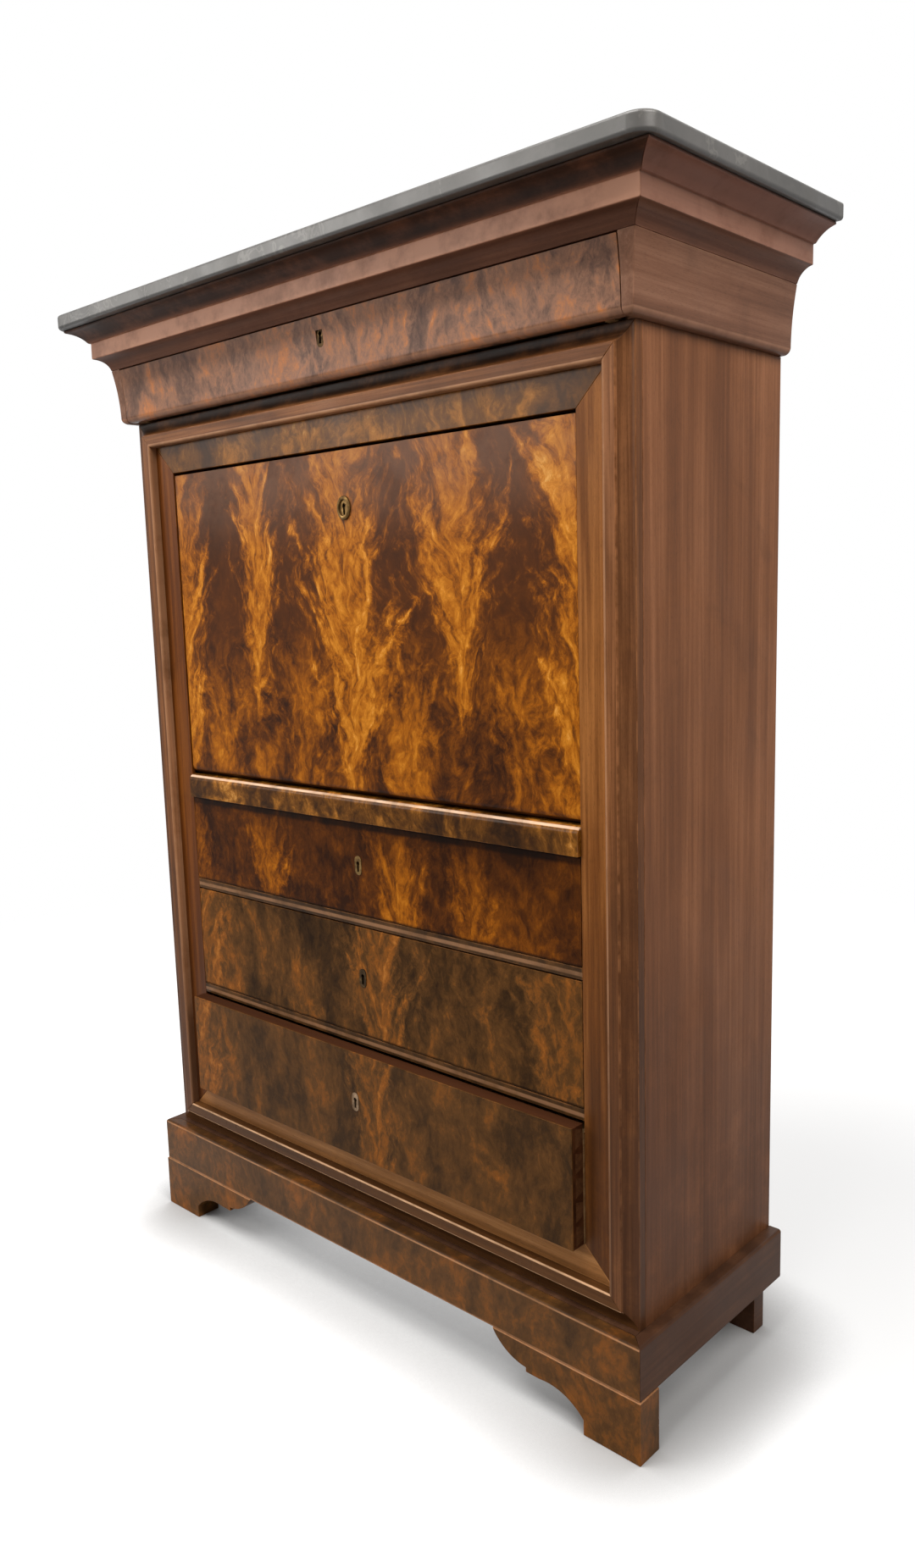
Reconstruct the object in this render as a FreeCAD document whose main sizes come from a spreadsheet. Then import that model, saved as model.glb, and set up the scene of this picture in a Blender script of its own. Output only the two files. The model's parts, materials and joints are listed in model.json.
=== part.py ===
import FreeCAD, Part
import math
import os
import Sketcher
from FreeCAD import Placement, Rotation, Vector

# Escritoire: a tall fall-front writing desk with a marble top, a frieze drawer and three long drawers.
# Millimetres, +Z up, the front faces -Y, the origin is on the floor under the middle of the outline.

doc = FreeCAD.newDocument("escritoire")
sheet = doc.addObject("Spreadsheet::Sheet", "sizes")


class Size:
    """A length that carries both its value and the sheet expression that drives it."""

    def __init__(self, value, text):
        self.value = value
        self.text = text

    def joined(self, other, sign, value):
        right = other.text if isinstance(other, Size) else repr(other)
        return Size(value, "(%s %s %s)" % (self.text, sign, right))

    def __add__(self, other):
        return self.joined(other, "+", self.value + number(other))

    def __sub__(self, other):
        return self.joined(other, "-", self.value - number(other))

    def __mul__(self, other):
        return self.joined(other, "*", self.value * number(other))

    def __truediv__(self, other):
        return self.joined(other, "/", self.value / number(other))

    def __rmul__(self, other):
        return self * other

    def __neg__(self):
        return Size(-self.value, "(0 - %s)" % self.text)


def number(thing):
    return thing.value if isinstance(thing, Size) else thing


rows = []


def size(alias, value):
    """Put one driving dimension in the sheet and return it as a Size."""
    rows.append(alias)
    row = str(len(rows))
    sheet.set("A" + row, alias)
    sheet.set("B" + row, str(value))
    sheet.setAlias("B" + row, alias)
    return Size(value, "sizes." + alias)


# Overall
overall_height = size("overall_height", 1450)
carcase_width = size("carcase_width", 924)
carcase_depth = size("carcase_depth", 322)
marble_thickness = size("marble_thickness", 20)
marble_side_overhang = size("marble_side_overhang", 76)
marble_front_overhang = size("marble_front_overhang", 82)
marble_corner_radius = size("marble_corner_radius", 24)
marble_edge_radius = size("marble_edge_radius", 4)
foot_height = size("foot_height", 81)
plinth_height = size("plinth_height", 69)
plinth_overhang = size("plinth_overhang", 18)
plinth_edge_radius = size("plinth_edge_radius", 4)
frieze_height = size("frieze_height", 80)
cornice_height = size("cornice_height", 60)

# Cornice section, measured outwards from the carcase faces
cove_start = size("cove_start", 20)
cove_height = size("cove_height", 18)
cove_radius = size("cove_radius", 24)
fillet_offset = size("fillet_offset", 40)
fillet_height = size("fillet_height", 23)
crown_quirk = size("crown_quirk", 3)
crown_offset = size("crown_offset", 68)
crown_radius = size("crown_radius", 40)
crown_lip = size("crown_lip", 3)

# Frieze section
frieze_foot_offset = size("frieze_foot_offset", 5)
frieze_low_offset = size("frieze_low_offset", 13)
frieze_top_offset = size("frieze_top_offset", 20)
frieze_round_height = size("frieze_round_height", 9)
frieze_round_radius = size("frieze_round_radius", 9)
frieze_hollow_radius = size("frieze_hollow_radius", 420)
frieze_corner_width = size("frieze_corner_width", 22)

# Boards of the carcase
side_thickness = size("side_thickness", 20)
back_thickness = size("back_thickness", 12)
back_seam = size("back_seam", 0.6)
floor_thickness = size("floor_thickness", 18)
upper_board_thickness = size("upper_board_thickness", 15)
cornice_board_thickness = size("cornice_board_thickness", 18)
bearer_width = size("bearer_width", 24)
base_rail_thickness = size("base_rail_thickness", 22)

# Front frame: a flat inner frame inside a raised strip, both mitred
strip_width = size("strip_width", 38)
strip_thickness = size("strip_thickness", 22)
strip_cove_width = size("strip_cove_width", 20)
strip_cove_fall = size("strip_cove_fall", 9)
strip_cove_radius = size("strip_cove_radius", 22)
strip_step = size("strip_step", 2)
strip_round = size("strip_round", 3)
frame_width = size("frame_width", 42)
frame_thickness = size("frame_thickness", 22)
frame_setback = size("frame_setback", 12)

# Stack of openings from the bottom rail up
lower_cell = size("lower_cell", 159)
middle_cell = size("middle_cell", 160)
upper_cell = size("upper_cell", 133)
divider_thickness = size("divider_thickness", 15)
fall_rail_height = size("fall_rail_height", 36)
fall_rail_depth = size("fall_rail_depth", 48)
fall_rail_proud = size("fall_rail_proud", 6)
fall_rail_nose = size("fall_rail_nose", 10)

# Fall front, its pivots and its stays
fall_thickness = size("fall_thickness", 22)
fall_setback = size("fall_setback", 14)
fall_bottom_gap = size("fall_bottom_gap", 2)
fall_top_gap = size("fall_top_gap", 4)
fall_side_gap = size("fall_side_gap", 1.5)
leather_thickness = size("leather_thickness", 1.6)
leather_border = size("leather_border", 62)
leather_top_border = size("leather_top_border", 106)
bed_thickness = size("bed_thickness", 18)
bed_gap = size("bed_gap", 2)
pivot_plate_thickness = size("pivot_plate_thickness", 3)
pivot_plate_width = size("pivot_plate_width", 16)
pivot_plate_length = size("pivot_plate_length", 56)
pivot_plate_foot = size("pivot_plate_foot", 7)
pivot_pin_radius = size("pivot_pin_radius", 4)
pivot_pin_length = size("pivot_pin_length", 9)
pivot_play = size("pivot_play", 0.05)
pivot_bore_room = size("pivot_bore_room", 1)
stay_radius = size("stay_radius", 130)
stay_width = size("stay_width", 14)
stay_thickness = size("stay_thickness", 4)
stay_inset = size("stay_inset", 7)
stay_foot_width = size("stay_foot_width", 18)
stay_foot_length = size("stay_foot_length", 44)
stay_foot_thickness = size("stay_foot_thickness", 3)
peg_radius = size("peg_radius", 4)
peg_length = size("peg_length", 18)
peg_stop_gap = size("peg_stop_gap", 0.6)
stay_tail = size("stay_tail", 9)
slot_room = size("slot_room", 4)

# Long drawers
drawer_face_thickness = size("drawer_face_thickness", 22)
drawer_back_room = size("drawer_back_room", 12)
drawer_side_gap = size("drawer_side_gap", 1)
drawer_top_gap = size("drawer_top_gap", 2)
drawer_run_gap = size("drawer_run_gap", 0.3)
drawer_face_gap = size("drawer_face_gap", 1.2)
drawer_side_thickness = size("drawer_side_thickness", 12)
drawer_back_thickness = size("drawer_back_thickness", 10)
drawer_bottom_thickness = size("drawer_bottom_thickness", 8)
drawer_bottom_rise = size("drawer_bottom_rise", 5)
drawer_box_drop = size("drawer_box_drop", 12)
lower_drawer_open = size("lower_drawer_open", 24)
guide_height = size("guide_height", 26)

# Locks and keyhole plates
lock_width = size("lock_width", 62)
lock_height = size("lock_height", 40)
lock_depth = size("lock_depth", 9)
key_radius = size("key_radius", 3)
key_slot_width = size("key_slot_width", 3.6)
key_slot_length = size("key_slot_length", 12)
plate_width = size("plate_width", 13)
plate_height = size("plate_height", 27)
plate_depth = size("plate_depth", 3)
plate_proud = size("plate_proud", 0.8)
boss_width = size("boss_width", 23)
boss_height = size("boss_height", 30)
fall_key_drop = size("fall_key_drop", 74)
drawer_key_rise = size("drawer_key_rise", 5)
frieze_key_rise = size("frieze_key_rise", 14)
frieze_key_offset = size("frieze_key_offset", 14.4)

# Interior fitting behind the fall front
nest_depth = size("nest_depth", 138)
nest_side_room = size("nest_side_room", 7.5)
nest_board = size("nest_board", 10)
nest_drawer_cell = size("nest_drawer_cell", 92)
small_gap = size("small_gap", 1)
small_face_thickness = size("small_face_thickness", 12)
small_side_thickness = size("small_side_thickness", 7)
small_bottom_thickness = size("small_bottom_thickness", 5)
small_depth = size("small_depth", 128)
small_box_drop = size("small_box_drop", 8)
knob_radius = size("knob_radius", 9)
knob_neck = size("knob_neck", 4)
knob_length = size("knob_length", 15)

# Bracket feet, measured inwards from the outer corner and up from the floor
foot_proud = size("foot_proud", 1.5)
foot_bottom_width = size("foot_bottom_width", 83)
foot_shin = size("foot_shin", 20)
foot_arch_width = size("foot_arch_width", 150)
foot_arch_height = size("foot_arch_height", 43)
foot_arch_radius = size("foot_arch_radius", 74)
foot_cusp_width = size("foot_cusp_width", 173)
foot_cusp_step = size("foot_cusp_step", 6)
foot_tip_width = size("foot_tip_width", 228)
foot_tip_radius = size("foot_tip_radius", 70)
foot_board = size("foot_board", 26)
foot_block_depth = size("foot_block_depth", 40)
rear_foot_inset = size("rear_foot_inset", 23)
rear_foot_setback = size("rear_foot_setback", 4)
cut_overrun = size("cut_overrun", 2)

# Counts, angles and shares
back_board_count = 4
stay_start_angle = 86
nest_middle_share = 0.326
nest_shelf_share = 0.47

doc.recompute()

# Heights and planes worked out from the sizes above
nothing = Size(0, "0")
half_width = carcase_width / 2
front = (marble_front_overhang - carcase_depth) / 2
back = front + carcase_depth
plinth_top = foot_height + plinth_height
carcase_top = overall_height - marble_thickness - cornice_height - frieze_height
frieze_top = carcase_top + frieze_height
frame_reach = strip_width + frame_width
open_half = half_width - frame_reach
open_bottom = plinth_top + frame_reach
open_top = carcase_top - frame_reach
frame_face = front + frame_setback
frame_back = frame_face + frame_thickness
inner_half = half_width - side_thickness
inner_back = back - back_thickness
lower_divider_low = open_bottom + lower_cell
middle_low = lower_divider_low + divider_thickness
upper_divider_low = middle_low + middle_cell
upper_low = upper_divider_low + divider_thickness
fall_rail_low = upper_low + upper_cell
fall_low = fall_rail_low + fall_rail_height + fall_bottom_gap
fall_top = open_top - fall_top_gap
fall_face = front + fall_setback
fall_back = fall_face + fall_thickness
pivot_y = fall_face + fall_thickness / 2
pivot_z = fall_low + fall_thickness / 2
fall_half = open_half - fall_side_gap
bed_top = pivot_z + fall_thickness / 2
nest_front = inner_back - nest_depth
drawer_depth = inner_back - drawer_back_room - frame_face


def bind(thing, name, amount):
    thing.setExpression(name, amount.text)


def place(thing, x, y, z):
    bind(thing, "Placement.Base.x", x)
    bind(thing, "Placement.Base.y", y)
    bind(thing, "Placement.Base.z", z)


def block(label, length, width, height, x, y, z):
    """A board with its low corner at x, y, z."""
    box = doc.addObject("Part::Box", label)
    bind(box, "Length", length)
    bind(box, "Width", width)
    bind(box, "Height", height)
    place(box, x, y, z)
    return box


def board(label, half_length, width, height, y, z):
    """A board centred on the middle plane of the desk."""
    return block(label, half_length * 2, width, height, -half_length, y, z)


def rod(label, radius, length, x, y, z, turn):
    """A round rod from x, y, z along its turned axis."""
    cylinder = doc.addObject("Part::Cylinder", label)
    bind(cylinder, "Radius", radius)
    bind(cylinder, "Height", length)
    cylinder.Placement = Placement(Vector(), turn)
    place(cylinder, x, y, z)
    return cylinder


ALONG_X = Rotation(Vector(0, 1, 0), 90)
BACK_ALONG_X = Rotation(Vector(0, 1, 0), -90)
ALONG_Y = Rotation(Vector(1, 0, 0), -90)


def group(label, pieces):
    """Separate solids that share one node."""
    compound = doc.addObject("Part::Compound", label)
    compound.Links = pieces
    return compound


def fuse(label, pieces):
    joined = doc.addObject("Part::MultiFuse", label)
    joined.Shapes = pieces
    joined.Refine = True
    return joined


def cut(label, base, tools):
    """The base with the tools taken out of it."""
    result = doc.addObject("Part::Cut", label)
    result.Base = base
    result.Tool = tools[0] if len(tools) == 1 else fuse(label + "_tools", tools)
    return result


def origin_plane(body, role):
    return [plane for plane in body.Origin.OriginFeatures if plane.Role == role][0]


def arc_through(start, end, radius, bulge):
    """An arc of under half a circle that bulges left (1) or right (-1) of its chord, drawn anticlockwise."""
    chord = end - start
    half = chord.Length / 2
    left = Vector(-chord.y, chord.x, 0) / chord.Length
    rise = radius - math.sqrt(radius * radius - half * half)
    middle = (start + end) / 2 + left * (bulge * rise)
    return Part.Arc(start, middle, end) if bulge < 0 else Part.Arc(end, middle, start)


def outline(body, label, role, corners):
    """A closed sketch through corners (u, v) or (u, v, radius, bulge) when an arc leads on."""
    sketch = body.newObject("Sketcher::SketchObject", label)
    sketch.AttachmentSupport = [(origin_plane(body, role), "")]
    sketch.MapMode = "FlatFace"
    spots = [Vector(corner[0].value, corner[1].value, 0) for corner in corners]
    count = len(corners)
    ends = []
    for index, corner in enumerate(corners):
        start = spots[index]
        end = spots[(index + 1) % count]
        if len(corner) == 4:
            edge = sketch.addGeometry(arc_through(start, end, corner[2].value, corner[3]))
            ends.append((edge, 1, 2) if corner[3] < 0 else (edge, 2, 1))
            radius = sketch.addConstraint(Sketcher.Constraint("Radius", edge, corner[2].value))
            sketch.setExpression("Constraints[%d]" % radius, corner[2].text)
        else:
            edge = sketch.addGeometry(Part.LineSegment(start, end))
            ends.append((edge, 1, 2))
    for index in range(count):
        edge, first, last = ends[index]
        following, following_first, following_last = ends[(index + 1) % count]
        sketch.addConstraint(Sketcher.Constraint("Coincident", edge, last, following, following_first))
    for index, corner in enumerate(corners):
        edge, first, last = ends[index]
        for kind, amount in zip(("DistanceX", "DistanceY"), corner[:2]):
            item = sketch.addConstraint(Sketcher.Constraint(kind, -1, 1, edge, first, amount.value))
            sketch.setExpression("Constraints[%d]" % item, amount.text)
    return sketch


def pad(body, label, role, corners, length):
    feature = body.newObject("PartDesign::Pad", label + "_pad")
    feature.Profile = outline(body, label + "_sketch", role, corners)
    bind(feature, "Length", length)
    return feature


def mitre(body, label, role, corners):
    """Take a corner off right through the body, both ways from the sketch plane."""
    feature = body.newObject("PartDesign::Pocket", label)
    feature.Profile = outline(body, label + "_sketch", role, corners)
    feature.Type = "ThroughAll"
    feature.SideType = "Symmetric"


def run(label, section, length, role, outer, inner, ends, turn, x, y, z):
    """A moulded length along X with a section in Y and Z, mitred at the named ends.

    The mitre lies in the plane named by role and runs from the outer edge to the inner edge.
    """
    body = doc.addObject("PartDesign::Body", label)
    pad(body, label, "YZ_Plane", section, length)
    sense = 1 if inner.value > outer.value else -1
    reach = (inner - outer) * sense
    low = outer - cut_overrun * sense
    high = inner + cut_overrun * sense
    far = reach + cut_overrun
    if "start" in ends:
        mitre(body, label + "_start", role, [(-cut_overrun, low), (far, high), (-cut_overrun, high)])
    if "end" in ends:
        mitre(body, label + "_end", role,
              [(length + cut_overrun, low), (length + cut_overrun, high), (length - far, high)])
    body.Placement = Placement(Vector(), turn)
    place(body, x, y, z)
    return body


STRAIGHT = Rotation()
TO_LEFT_SIDE = Rotation(Vector(0, 0, 1), -90)
TO_RIGHT_SIDE = Rotation(Vector(0, 0, 1), 90)
nodes = []


def node(thing):
    nodes.append(thing)
    return thing


def mirrored_x(sign, low, length):
    """The low X of a piece that starts at low on the right, or its mirror on the left."""
    return low if sign > 0 else -(low + length)


SIDES = (("left", -1), ("right", 1))


# Marble slab with rounded front corners and eased edges
def marble():
    body = doc.addObject("PartDesign::Body", "marble_top")
    slab = body.newObject("PartDesign::AdditiveBox", "marble_slab")
    bind(slab, "Length", carcase_width + marble_side_overhang * 2)
    bind(slab, "Width", carcase_depth + marble_front_overhang)
    bind(slab, "Height", marble_thickness)
    place(body, -(half_width + marble_side_overhang), front - marble_front_overhang,
          overall_height - marble_thickness)
    doc.recompute()
    upright = []
    for index, edge in enumerate(slab.Shape.Edges):
        ends = [vertex.Point for vertex in edge.Vertexes]
        at_front = all(abs(point.y) < 1e-6 for point in ends)
        if at_front and abs(ends[0].x - ends[1].x) < 1e-6:
            upright.append("Edge%d" % (index + 1))
    corners = body.newObject("PartDesign::Fillet", "marble_corners")
    corners.Base = (slab, upright)
    bind(corners, "Radius", marble_corner_radius)
    doc.recompute()
    rims = []
    deepest = max(vertex.Y for vertex in corners.Shape.Vertexes)
    for index, edge in enumerate(corners.Shape.Edges):
        ends = [vertex.Point for vertex in edge.Vertexes]
        level = abs(ends[0].z - ends[-1].z) < 1e-6
        at_back = all(abs(point.y - deepest) < 1e-6 for point in ends)
        if level and not at_back:
            rims.append("Edge%d" % (index + 1))
    eased = body.newObject("PartDesign::Fillet", "marble_edges")
    eased.Base = (corners, rims)
    bind(eased, "Radius", marble_edge_radius)
    return body


node(marble())

# Cornice: cove, fillet and crown, in three mitred lengths
cornice_section = [
    (nothing, nothing),
    (-cove_start, nothing, cove_radius, -1),
    (-fillet_offset, cove_height),
    (-fillet_offset, cove_height + fillet_height),
    (-(fillet_offset + crown_quirk), cove_height + fillet_height, crown_radius, -1),
    (-crown_offset, cornice_height - crown_lip),
    (-crown_offset, cornice_height),
    (nothing, cornice_height),
]
cornice_span = carcase_depth + crown_offset
node(run("cornice_front", cornice_section, (half_width + crown_offset) * 2, "XY_Plane", -crown_offset,
         nothing, ("start", "end"), STRAIGHT, -(half_width + crown_offset), front, frieze_top))
node(run("cornice_left", cornice_section, cornice_span, "XY_Plane", -crown_offset, nothing, ("end",),
         TO_LEFT_SIDE, -half_width, back, frieze_top))
node(run("cornice_right", cornice_section, cornice_span, "XY_Plane", -crown_offset, nothing, ("start",),
         TO_RIGHT_SIDE, half_width, front - crown_offset, frieze_top))
node(board("cornice_board", half_width, carcase_depth, cornice_board_thickness, front, frieze_top))
bearer_height = cornice_height - cornice_board_thickness
bearer_low = frieze_top + cornice_board_thickness
bearers = [board("rear_bearer", half_width, bearer_width, bearer_height, back - bearer_width, bearer_low)]
for side, sign in SIDES:
    bearers.append(block("cross_bearer_" + side, bearer_width, carcase_depth - bearer_width, bearer_height,
                         mirrored_x(sign, half_width / 2, bearer_width), front, bearer_low))
node(group("marble_bearers", bearers))


# Frieze: side returns that carry the front corners
def frieze_section(inside):
    return [
        (inside, nothing),
        (-frieze_foot_offset, nothing, frieze_round_radius, 1),
        (-frieze_low_offset, frieze_round_height, frieze_hollow_radius, -1),
        (-frieze_top_offset, frieze_height),
        (inside, frieze_height),
    ]


frieze_reach = half_width + frieze_top_offset
frieze_face_half = frieze_reach - frieze_corner_width
frieze_front_inset = frieze_corner_width - frieze_top_offset
return_section = frieze_section(side_thickness)
return_span = carcase_depth + frieze_top_offset
node(fuse("frieze_left", [
    run("frieze_left_side", return_section, return_span, "XY_Plane", -frieze_top_offset, side_thickness,
        ("end",), TO_LEFT_SIDE, -half_width, back, carcase_top),
    run("frieze_left_corner", frieze_section(frieze_front_inset), frieze_corner_width, "XY_Plane",
        -frieze_top_offset, side_thickness, ("start",), STRAIGHT, -frieze_reach, front, carcase_top),
]))
node(fuse("frieze_right", [
    run("frieze_right_side", return_section, return_span, "XY_Plane", -frieze_top_offset, side_thickness,
        ("start",), TO_RIGHT_SIDE, half_width, front - frieze_top_offset, carcase_top),
    run("frieze_right_corner", frieze_section(frieze_front_inset), frieze_corner_width, "XY_Plane",
        -frieze_top_offset, side_thickness, ("end",), STRAIGHT, frieze_face_half, front, carcase_top),
]))

# Carcase boards
side_front = front + strip_thickness
for side, sign in SIDES:
    panel_x = mirrored_x(sign, inner_half, side_thickness)
    node(block("side_panel_" + side, side_thickness, carcase_depth - strip_thickness,
               carcase_top - foot_height, panel_x, side_front, foot_height))
back_width = inner_half * 2 / back_board_count
back_pieces = []
for index in range(back_board_count):
    back_x = -inner_half + back_width * index
    back_pieces.append(block("back_board_%d" % (index + 1), back_width - back_seam, back_thickness,
                             frieze_top - foot_height, back_x, inner_back, foot_height))
node(group("back_boards", back_pieces))
inner_depth = inner_back - frame_back
node(board("carcase_floor", inner_half, inner_depth, floor_thickness, frame_back,
           open_bottom - floor_thickness))
node(board("upper_board", inner_half, inner_back - side_front, upper_board_thickness, side_front,
           carcase_top - upper_board_thickness))
dividers = []
for label, low in (("lower_divider", lower_divider_low), ("upper_divider", upper_divider_low)):
    dividers.append(fuse(label, [
        board(label + "_board", inner_half, inner_depth, divider_thickness, frame_back, low),
        board(label + "_rail", open_half, frame_thickness, divider_thickness, frame_face, low),
    ]))
node(group("drawer_dividers", dividers))
guides = []
for low in (open_bottom, middle_low, upper_low):
    for side, sign in SIDES:
        guides.append(block("guide", inner_half - open_half, inner_depth, guide_height,
                            mirrored_x(sign, open_half, inner_half - open_half), frame_back, low))
node(group("drawer_guides", guides))


# Front frame
def four_sided(label, section, width, reach, y):
    """Four mitred lengths round the front, reach in from the outline of the carcase face."""
    across = (half_width - reach) * 2
    upright = carcase_top - plinth_top - reach * 2
    left = -(half_width - reach)
    low = plinth_top + reach
    high = carcase_top - reach
    ends = ("start", "end")
    lay = (
        ("bottom", across, STRAIGHT, left, low),
        ("top", across, Rotation(Vector(0, 1, 0), 180), -left, high),
        ("left", upright, Rotation(Vector(0, 1, 0), 90), left, high),
        ("right", upright, Rotation(Vector(0, 1, 0), -90), -left, low),
    )
    return {name: run(label + "_" + name, section, length, "XZ_Plane", nothing, width, ends, turn, x, y, z)
            for name, length, turn, x, z in lay}


strip_section = [
    (strip_thickness, nothing),
    (strip_cove_fall, nothing, strip_cove_radius, -1),
    (strip_step, strip_cove_width),
    (nothing, strip_cove_width),
    (nothing, strip_width - strip_round, strip_round, 1),
    (strip_round, strip_width),
    (strip_thickness, strip_width),
]
for name, piece in four_sided("raised_strip", strip_section, strip_width, nothing, front).items():
    node(piece)
flat_section = [
    (nothing, nothing),
    (nothing, frame_width),
    (frame_thickness, frame_width),
    (frame_thickness, nothing),
]
flats = four_sided("flat_frame", flat_section, frame_width, strip_width, frame_face)
node(flats["bottom"])
node(flats["top"])
plate_low = pivot_z - pivot_plate_foot
plate_y = pivot_y - pivot_plate_width / 2
for side, sign in SIDES:
    seat = block("pivot_seat_" + side, pivot_plate_thickness, pivot_plate_width, pivot_plate_length,
                 mirrored_x(sign, open_half, pivot_plate_thickness), plate_y, plate_low)
    node(cut("stile_" + side, flats[side], [seat]))


# Nosed rail under the fall front
def nosed_rail():
    body = doc.addObject("PartDesign::Body", "fall_rail")
    depth = fall_rail_depth
    pad(body, "fall_rail", "YZ_Plane", [
        (nothing, nothing),
        (depth, nothing),
        (depth, fall_rail_height),
        (fall_rail_nose, fall_rail_height, fall_rail_nose, -1),
        (nothing, fall_rail_height - fall_rail_nose),
    ], open_half * 2)
    place(body, -open_half, frame_face - fall_rail_proud, fall_rail_low)
    return body


node(nosed_rail())

# Plinth bands and the rail behind them
plinth_section = [
    (nothing, nothing),
    (-plinth_overhang, nothing),
    (-plinth_overhang, plinth_height - plinth_edge_radius, plinth_edge_radius, 1),
    (-plinth_overhang + plinth_edge_radius, plinth_height),
    (nothing, plinth_height),
]
plinth_half = half_width + plinth_overhang
plinth_span = carcase_depth + plinth_overhang
node(run("plinth_front", plinth_section, plinth_half * 2, "XY_Plane", -plinth_overhang, nothing,
         ("start", "end"), STRAIGHT, -plinth_half, front, foot_height))
node(run("plinth_left", plinth_section, plinth_span, "XY_Plane", -plinth_overhang, nothing, ("end",),
         TO_LEFT_SIDE, -half_width, back, foot_height))
node(run("plinth_right", plinth_section, plinth_span, "XY_Plane", -plinth_overhang, nothing, ("start",),
         TO_RIGHT_SIDE, half_width, front - plinth_overhang, foot_height))
node(board("base_rail", half_width, base_rail_thickness, plinth_height, front, foot_height))


# Bracket feet
def bracket(label, sign, depth, x, y, block_depth):
    """A foot seen from the front: a straight shin, an arch, a cusp and a tip that meets the band."""
    body = doc.addObject("PartDesign::Body", label)
    outer = nothing
    shape = [
        (outer, nothing),
        (foot_bottom_width * sign, nothing),
        (foot_bottom_width * sign, foot_shin, foot_arch_radius, sign),
        (foot_arch_width * sign, foot_arch_height),
        (foot_cusp_width * sign, foot_arch_height),
        (foot_cusp_width * sign, foot_arch_height + foot_cusp_step, foot_tip_radius, -sign),
        (foot_tip_width * sign, foot_height),
        (outer, foot_height),
    ]
    wing = pad(body, label + "_wing", "XZ_Plane", shape, depth)
    wing.Reversed = True
    if block_depth is not None:
        shank = pad(body, label + "_block", "XZ_Plane", [
            (outer, nothing),
            (foot_bottom_width * sign, nothing),
            (foot_bottom_width * sign, foot_height),
            (outer, foot_height),
        ], block_depth)
        shank.Reversed = True
    place(body, x, y, nothing)
    return body


foot_half = plinth_half + foot_proud
foot_front = front - plinth_overhang - foot_proud
rear_half = plinth_half - rear_foot_inset
rear_front = back - rear_foot_setback - foot_board
rear_feet = []
for side, sign in SIDES:
    node(bracket("front_foot_" + side, -sign, foot_board, foot_half * sign, foot_front, foot_block_depth))
    rear_feet.append(bracket("rear_foot_" + side, -sign, foot_board, rear_half * sign, rear_front, None))
node(group("rear_feet", rear_feet))

# Writing bed with slots for the stays
stay_outer = fall_half - stay_inset
slot_width = stay_thickness + peg_length + slot_room * 2
slot_depth = stay_width + slot_room * 2
slots = []
for side, sign in SIDES:
    slots.append(block("stay_slot_" + side, slot_width, slot_depth, bed_thickness + cut_overrun * 2,
                       mirrored_x(sign, stay_outer - stay_thickness - slot_room, slot_width),
                       pivot_y + stay_radius - slot_depth / 2, bed_top - bed_thickness - cut_overrun))
bed_front = fall_back + bed_gap
bed = board("bed_board", inner_half, inner_back - bed_front, bed_thickness, bed_front,
            bed_top - bed_thickness)
node(cut("writing_bed", bed, slots))

# Interior fitting: uprights, shelves and two small drawers
nest_top = carcase_top - upper_board_thickness
nest_height = nest_top - bed_top
nest_half_width = stay_outer - stay_thickness - nest_side_room
nest_middle_half = nest_half_width * nest_middle_share
nest_low_rise = nest_drawer_cell + nest_board
nest_shelf_rise = nest_low_rise + (nest_height - nest_low_rise) * nest_shelf_share
uprights = []
shelves = []
bay_inner = nest_middle_half + nest_board
bay_width = nest_half_width - nest_board - bay_inner
for side, sign in SIDES:
    for label, low in (("outer", nest_half_width - nest_board), ("inner", nest_middle_half)):
        uprights.append(block("nest_%s_%s" % (label, side), nest_board, nest_depth, nest_height,
                              mirrored_x(sign, low, nest_board), nest_front, bed_top))
    for rise in (nest_drawer_cell, nest_shelf_rise):
        shelves.append(block("nest_shelf_" + side, bay_width, nest_depth, nest_board,
                             mirrored_x(sign, bay_inner, bay_width), nest_front, bed_top + rise))
shelves.append(board("nest_shelf_middle", nest_middle_half, nest_depth, nest_board, nest_front,
                     bed_top + nest_shelf_rise))
node(group("nest_uprights", uprights))
node(group("nest_shelves", shelves))


# Keyholes, locks and their plates
def rounded_plate(label, width, height, depth, x, y, z):
    """An upright plate with round ends, its face at y, centred on x and z."""
    radius = width / 2
    straight = height - width
    return fuse(label, [
        block(label + "_middle", width, depth, straight, x - radius, y, z - straight / 2),
        rod(label + "_top", radius, depth, x, y, z + straight / 2, ALONG_Y),
        rod(label + "_bottom", radius, depth, x, y, z - straight / 2, ALONG_Y),
    ])


def keyhole(label, depth, y, z):
    """A round hole over a narrow slot."""
    reach = depth + cut_overrun * 2
    return [
        rod(label + "_eye", key_radius, reach, nothing, y - cut_overrun, z + key_slot_length / 4, ALONG_Y),
        block(label + "_slit", key_slot_width, reach, key_slot_length, -key_slot_width / 2, y - cut_overrun,
              z - key_slot_length * 3 / 4),
    ]


def lock_set(label, face, thickness, z, width, height):
    """Cutting tools for a front, with the lock and the keyhole plate that fill them."""
    lock_low = z - lock_height / 2
    lock_y = face + thickness - lock_depth
    tools = keyhole(label + "_hole", thickness, face, z)
    tools.append(rounded_plate(label + "_plate_seat", width, height, plate_depth + plate_proud + cut_overrun,
                               nothing, face - plate_proud - cut_overrun, z))
    tools.append(board(label + "_lock_seat", lock_width / 2, lock_depth, lock_height, lock_y, lock_low))
    case = board(label + "_lock_case", lock_width / 2, lock_depth, lock_height, lock_y, lock_low)
    blank = rounded_plate(label + "_plate_blank", width, height, plate_depth + plate_proud, nothing,
                          face - plate_proud, z)
    plate_hole = keyhole(label + "_plate_hole", plate_depth, face - plate_proud, z)
    plate = cut(label + "_keyhole_plate", blank, plate_hole)
    node(group(label + "_lock", [case, plate]))
    return tools


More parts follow.
